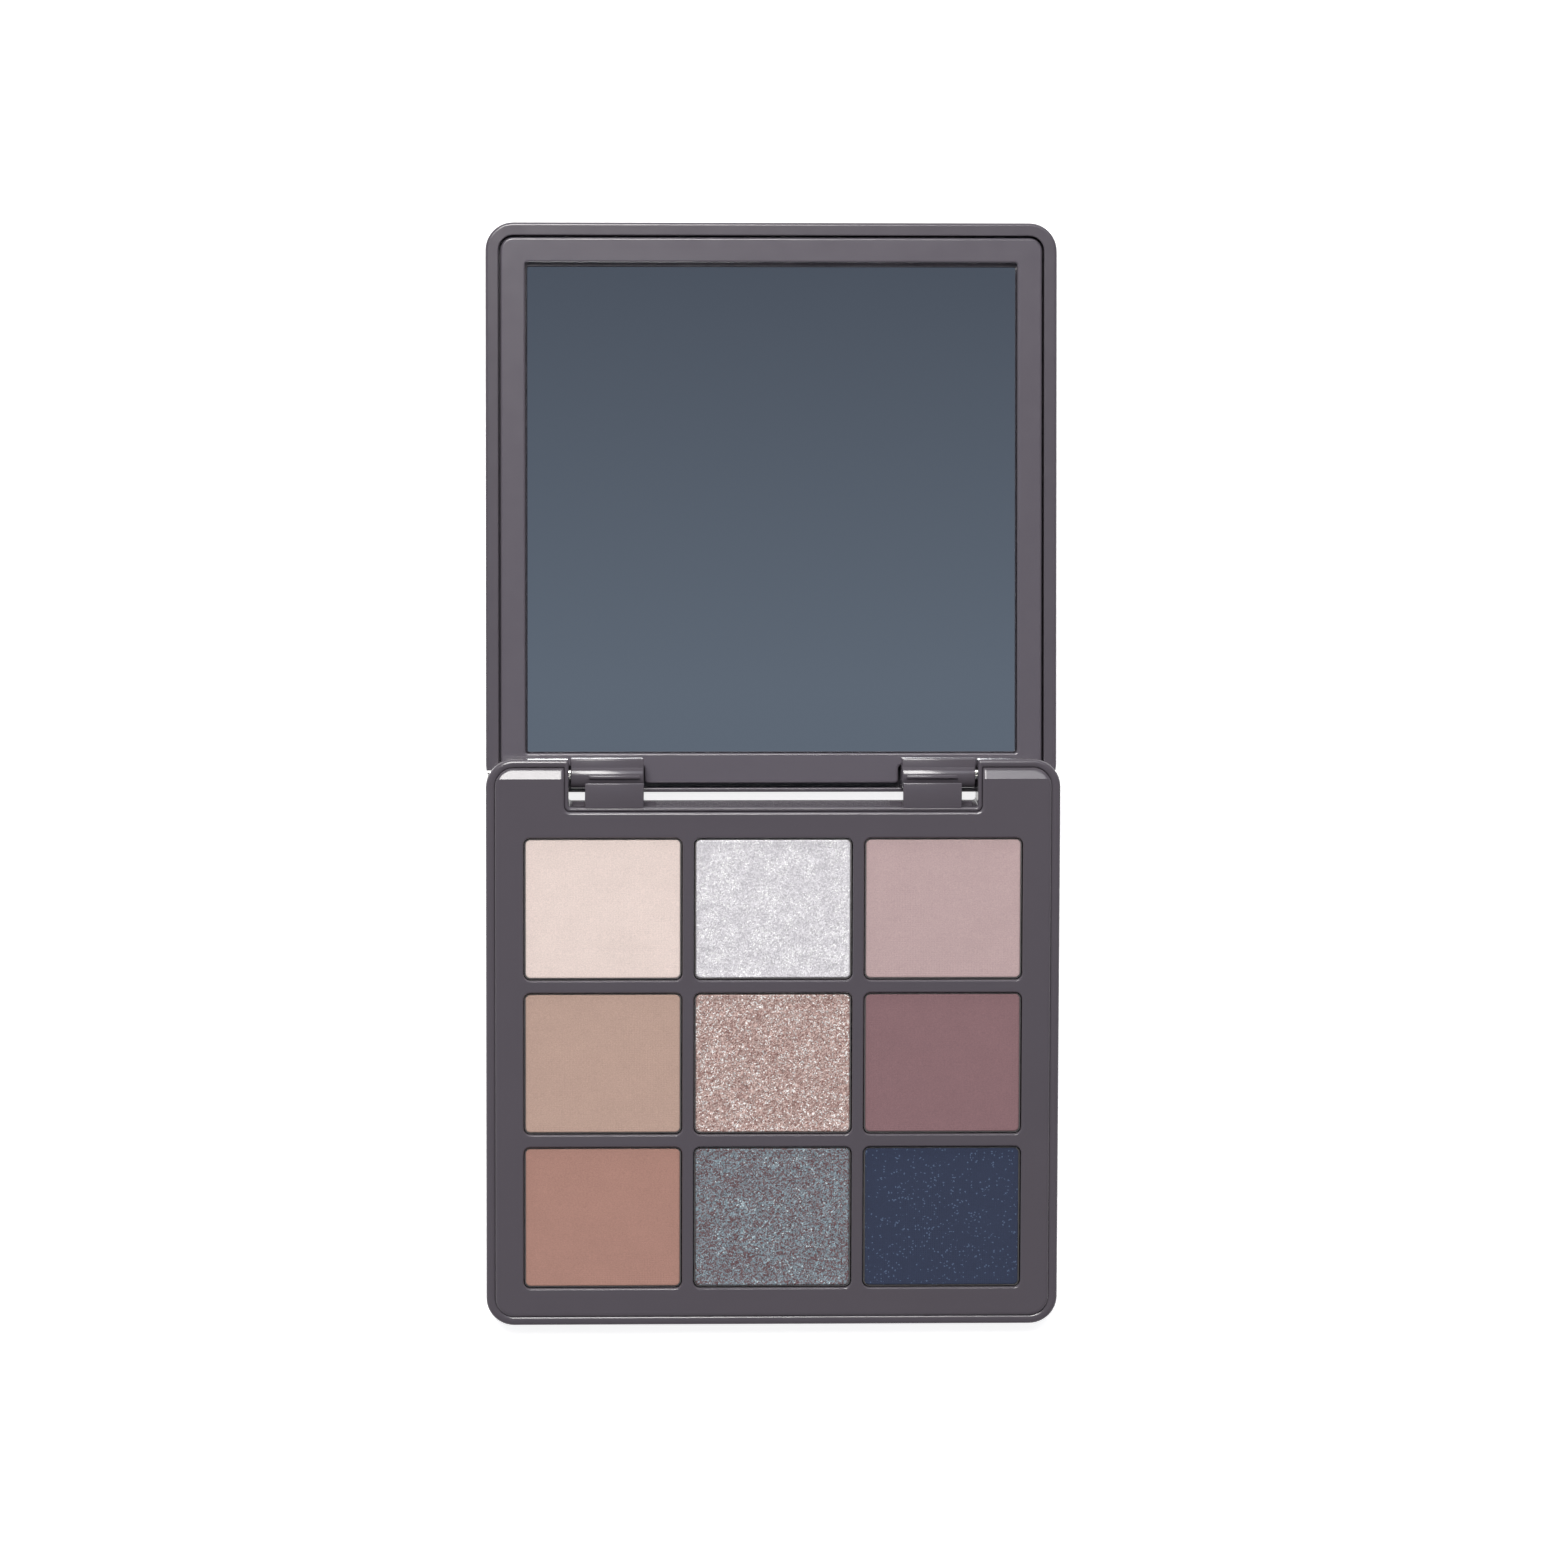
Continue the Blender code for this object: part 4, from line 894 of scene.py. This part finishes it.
class PALETTE_OT_mirror_frame(Operator):
    """The frame that holds the mirror in the lid"""

    bl_idname = "palette.mirror_frame"
    bl_label = "Mirror Frame"

    def execute(self, context):
        lid, hinge = group("lid"), group("hinge")
        low, high = half_box("mirror_frame", LID)
        corner = group("body").corner - lid.rim - lid.gap
        inner = hinge.knuckle_inner - lid.notch_gap
        outer = hinge.knuckle_inner + hinge.knuckle_width + lid.notch_gap
        turn = lid.notch_corner
        right = [
            (inner, low.y, turn),
            (inner, lid.notch_front, turn),
            (outer, lid.notch_front, turn),
            (outer, low.y, turn),
            (high.x, low.y, corner),
            (high.x, high.y, corner),
        ]
        left = [(-x, y, radius) for x, y, radius in reversed(right)]
        mesh = bmesh.new()
        _, top = slab(mesh, right + left, low.z, high.z, 0.0, lid.frame_edge)
        window_low = (low.x + lid.rail, low.y + lid.rear_rail)
        window = rectangle(window_low, (high.x - lid.rail, high.y - lid.rail), lid.window_corner)
        adhesive = half_box("mirror_adhesive", LID)[0].z - lid.glue_gap
        mouth, _ = well(mesh, window, high.z, adhesive, lid.window_edge)
        opened(mesh, [top, mouth])
        faced_out(mesh)
        made = link(mesh, "mirror_surround")
        finish = satin_moulded_abs("satin_moulded_frame", group("colours").frame)
        finished(made, LID, "lid", finish, "lid_plastic", "mirror_frame")
        return {"FINISHED"}


class PALETTE_OT_mirror(Operator):
    """The silvered mirror glass with its ground edge"""

    bl_idname = "palette.mirror"
    bl_label = "Mirror"

    def execute(self, context):
        lid, tints = group("lid"), group("colours")
        low, high = half_box("mirror", LID)
        corners = rectangle(low, high, lid.window_corner)
        mesh = bmesh.new()
        arris = [(corners, high.z - lid.arris), (moved_in(corners, lid.arris), high.z)]
        _, top = lofted(mesh, [(corners, low.z)] + arris)
        faced_out(mesh)
        for face in mesh.faces:
            face.material_index = 0 if face is top else 1
        made = link(mesh, "mirror_glass")
        finished(made, LID, "lid", silvered_glass(tints.silver), "mirror_silver", "mirror", angle=20.0)
        made.data.materials.append(ground_glass_edge(tints.glass))
        return {"FINISHED"}


class PALETTE_OT_hinge_pins(Operator):
    """The two knurled hinge pins"""

    bl_idname = "palette.hinge_pins"
    bl_label = "Hinge Pins"

    def execute(self, context):
        hinge = group("hinge")
        steel = rolled_metal("knurled_steel", linear("D8D6D3"), 0.22, 0.3)
        for side in ("left", "right"):
            low, high = half_box(f"hinge_pin_{side}", BASE)
            mesh = bmesh.new()
            rod(mesh, (high.z - low.z) / 2, low.x, high.x, hinge.splines, hinge.spline_depth)
            made = link(mesh, f"knurled_pin_{side}")
            finished(made, BASE, "base", steel, "pin_steel", f"hinge_pin_{side}", angle=50.0)
        return {"FINISHED"}


class PALETTE_OT_inner_parts(Operator):
    """Finishes of the magnets, glue, tape and label, which keep their own meshes"""

    bl_idname = "palette.inner_parts"
    bl_label = "Inner Parts"

    def execute(self, context):
        finishes = {
            "magnet": rolled_metal("nickel_plate", linear("A9A9AA"), 0.3, 0.4),
            "glue_dot": soft_layer("hot_melt_glue", linear("E6E0CC"), 0.35, 1.5, 0.05, 0.3),
            "adhesive": soft_layer("foam_tape", linear("F2F1EE"), 0.85, 0.25, 0.04),
            "label": soft_layer("matt_film_label", linear("2B282C"), 0.55, 0.6, 0.01),
        }
        for name, node in frame["nodes"].items():
            for word, finish in finishes.items():
                if word in name:
                    node.data.materials.clear()
                    node.data.materials.append(finish)
        return {"FINISHED"}


SHARED = {}


def shared(name):
    """A finish that several pieces have, made once."""
    if name not in SHARED:
        if name == "abs":
            SHARED[name] = satin_moulded_abs("satin_moulded_abs", group("colours").body)
        else:
            # The pans' grey is darkened well below bright tinplate: painted shade for the dark gap where the
            # rims sit deep in their wells.
            SHARED[name] = rolled_metal("shade_darkened_tinplate", linear("6E6C6C"), 0.45)
    return SHARED[name]


# Studio


class PALETTE_OT_stage(Operator):
    """The pale table, the soft light and the camera"""

    bl_idname = "palette.stage"
    bl_label = "Stage"

    def execute(self, context):
        studio = group("studio")
        table()
        # Places and sides are in metres.
        soft_box("key_soft_box", (-0.15, 0.58, 1.3), (0.42, 0.68), studio.key, (1.0, 0.985, 0.97))
        soft_box("rear_strip", (0.0, 1.5, 0.5), (2.0, 0.5), 1.5, (1.0, 1.0, 1.0))
        soft_box("blue_side_card", (0.33, 0.6, 1.32), (0.48, 0.5), 2.0, (0.86, 0.9, 1.0))
        flag()
        room(studio.fill)
        lens = bpy.data.cameras.new("camera")
        lens.lens = studio.focal
        lens.sensor_width = 36.0
        lens.clip_start, lens.clip_end = 0.05, 50.0
        camera = bpy.data.objects.new("camera", lens)
        away = Vector((0, math.sin(studio.tilt), math.cos(studio.tilt)))
        camera.location = HINGE + away * studio.distance - Vector((studio.aside, 0, 0))
        turn = math.atan((studio.aside + studio.aim) / (studio.distance * math.cos(studio.tilt)))
        camera.rotation_euler = (-studio.tilt, -turn, 0)
        context.scene.collection.objects.link(camera)
        context.scene.camera = camera
        context.scene.view_settings.view_transform = "Standard"
        return {"FINISHED"}


def table():
    """A back-lit white acrylic table: even white, so that shadows on it stay faint."""
    mesh = bmesh.new()
    bmesh.ops.create_circle(mesh, cap_ends=True, radius=12.0, segments=96)
    floor = link(mesh, "table")
    white = {"Base_Color": (0.86, 0.86, 0.86, 1.0), "Emission_Color": (1.0, 1.0, 1.0, 1.0)}
    made, *_ = new_material("backlit_white_acrylic", Roughness=0.6, Emission_Strength=0.8, **white)
    floor.data.materials.append(made)
    floor.location.z = -TABLE_DROP


def soft_box(name, place, sides, radiance, tint):
    """A rectangular soft box that faces the palette; its power follows from its radiance and area."""
    light = bpy.data.lights.new(name, "AREA")
    light.shape = "RECTANGLE"
    light.size, light.size_y = sides
    light.energy = radiance * math.pi * sides[0] * sides[1]
    light.color = tint
    made = bpy.data.objects.new(name, light)
    made.location = place
    made.rotation_euler = (HINGE - Vector(place)).to_track_quat("-Z", "Y").to_euler()
    bpy.context.scene.collection.objects.link(made)


def flag():
    """A slate card above the camera, which is what the mirror shows: lighter towards the front."""
    mesh = bmesh.new()
    bmesh.ops.create_grid(mesh, x_segments=1, y_segments=1, size=0.24)
    card = link(mesh, "slate_card")
    made = bpy.data.materials.new("slate_card")
    made.use_nodes = True
    tree = made.node_tree
    tree.nodes.clear()
    place = add(tree, "SeparateXYZ", {"Vector": add(tree, "TexCoord", {}).outputs["Object"]})
    along = add(tree, "MapRange", {"Value": place.outputs["Y"], "From Min": -0.07, "From Max": 0.12})
    ramp = add(tree, "ValToRGB", {"Fac": along})
    front, back = ramp.color_ramp.elements
    front.color = (*linear("69727F"), 1.0)
    back.color = (*linear("505662"), 1.0)
    glow = add(tree, "Emission", {"Color": ramp, "Strength": 1.0})
    add(tree, "OutputMaterial", {"Surface": glow})
    card.data.materials.append(made)
    card.location = (0.0, 0.06, 1.5)


def room(fill):
    """A pale room: dimmer overhead, and lighter behind and to the left than in front."""
    world = bpy.data.worlds.new("room")
    world.use_nodes = True
    tree = world.node_tree
    place = add(tree, "TexCoord", {}).outputs["Generated"]
    height = add(tree, "SeparateXYZ", {"Vector": place})
    ramp = add(tree, "ValToRGB", {"Fac": height.outputs["Z"]})
    low, high = ramp.color_ramp.elements
    low.position, high.position = 0.05, 0.55
    low.color = (0.6, 0.61, 0.63, 1.0)
    high.color = (fill, fill, fill * 1.04, 1.0)
    towards = add(tree, "VectorMath", {0: place, 1: (-0.5, 0.85, 0.0)}, operation="DOT_PRODUCT")
    bright = {"From Min": -1.0, "To Min": 0.35, "To Max": 1.3}
    dim = add(tree, "MapRange", {"Value": towards.outputs["Value"], **bright})
    lit = add(tree, "VectorMath", {0: ramp, "Scale": dim}, operation="SCALE")
    feed(tree, tree.nodes["Background"], {"Color": lit})
    bpy.context.scene.world = world


class PALETTE_PT_panel(Panel):
    """Lists the palette's pieces and its sizes"""

    bl_idname = "PALETTE_PT_panel"
    bl_label = "Powder Palette"
    bl_space_type = "VIEW_3D"
    bl_region_type = "UI"
    bl_category = "Palette"

    def draw(self, context):
        for operator in OPERATORS:
            self.layout.operator(operator.bl_idname)
        for name, group in GROUPS.items():
            box = self.layout.box()
            for field in group.__annotations__:
                box.prop(getattr(context.scene, name), field)


GROUPS = {
    "palette_body": PaletteBodySizes,
    "palette_deck": PaletteDeckSizes,
    "palette_hinge": PaletteHingeSizes,
    "palette_lid": PaletteLidSizes,
    "palette_powder": PalettePowderSizes,
    "palette_colours": PaletteColours,
    "palette_studio": PaletteStudio,
}
OPERATORS = (
    PALETTE_OT_base_shell,
    PALETTE_OT_pan_deck,
    PALETTE_OT_pans,
    PALETTE_OT_powders,
    PALETTE_OT_lid_shell,
    PALETTE_OT_mirror_frame,
    PALETTE_OT_mirror,
    PALETTE_OT_hinge_pins,
    PALETTE_OT_inner_parts,
    PALETTE_OT_stage,
)


def register():
    for name, group in GROUPS.items():
        bpy.utils.register_class(group)
        setattr(bpy.types.Scene, name, PointerProperty(type=group))
    for made in (*OPERATORS, PALETTE_PT_panel):
        bpy.utils.register_class(made)


def unregister():
    for made in (PALETTE_PT_panel, *reversed(OPERATORS)):
        bpy.utils.unregister_class(made)
    for name, group in reversed(GROUPS.items()):
        delattr(bpy.types.Scene, name)
        bpy.utils.unregister_class(group)


def main():
    register()
    bpy.ops.palette.base_shell()
    bpy.ops.palette.pan_deck()
    bpy.ops.palette.pans()
    bpy.ops.palette.powders()
    bpy.ops.palette.lid_shell()
    bpy.ops.palette.mirror_frame()
    bpy.ops.palette.mirror()
    bpy.ops.palette.hinge_pins()
    bpy.ops.palette.inner_parts()
    bpy.ops.palette.stage()


if __name__ == "__main__":
    main()
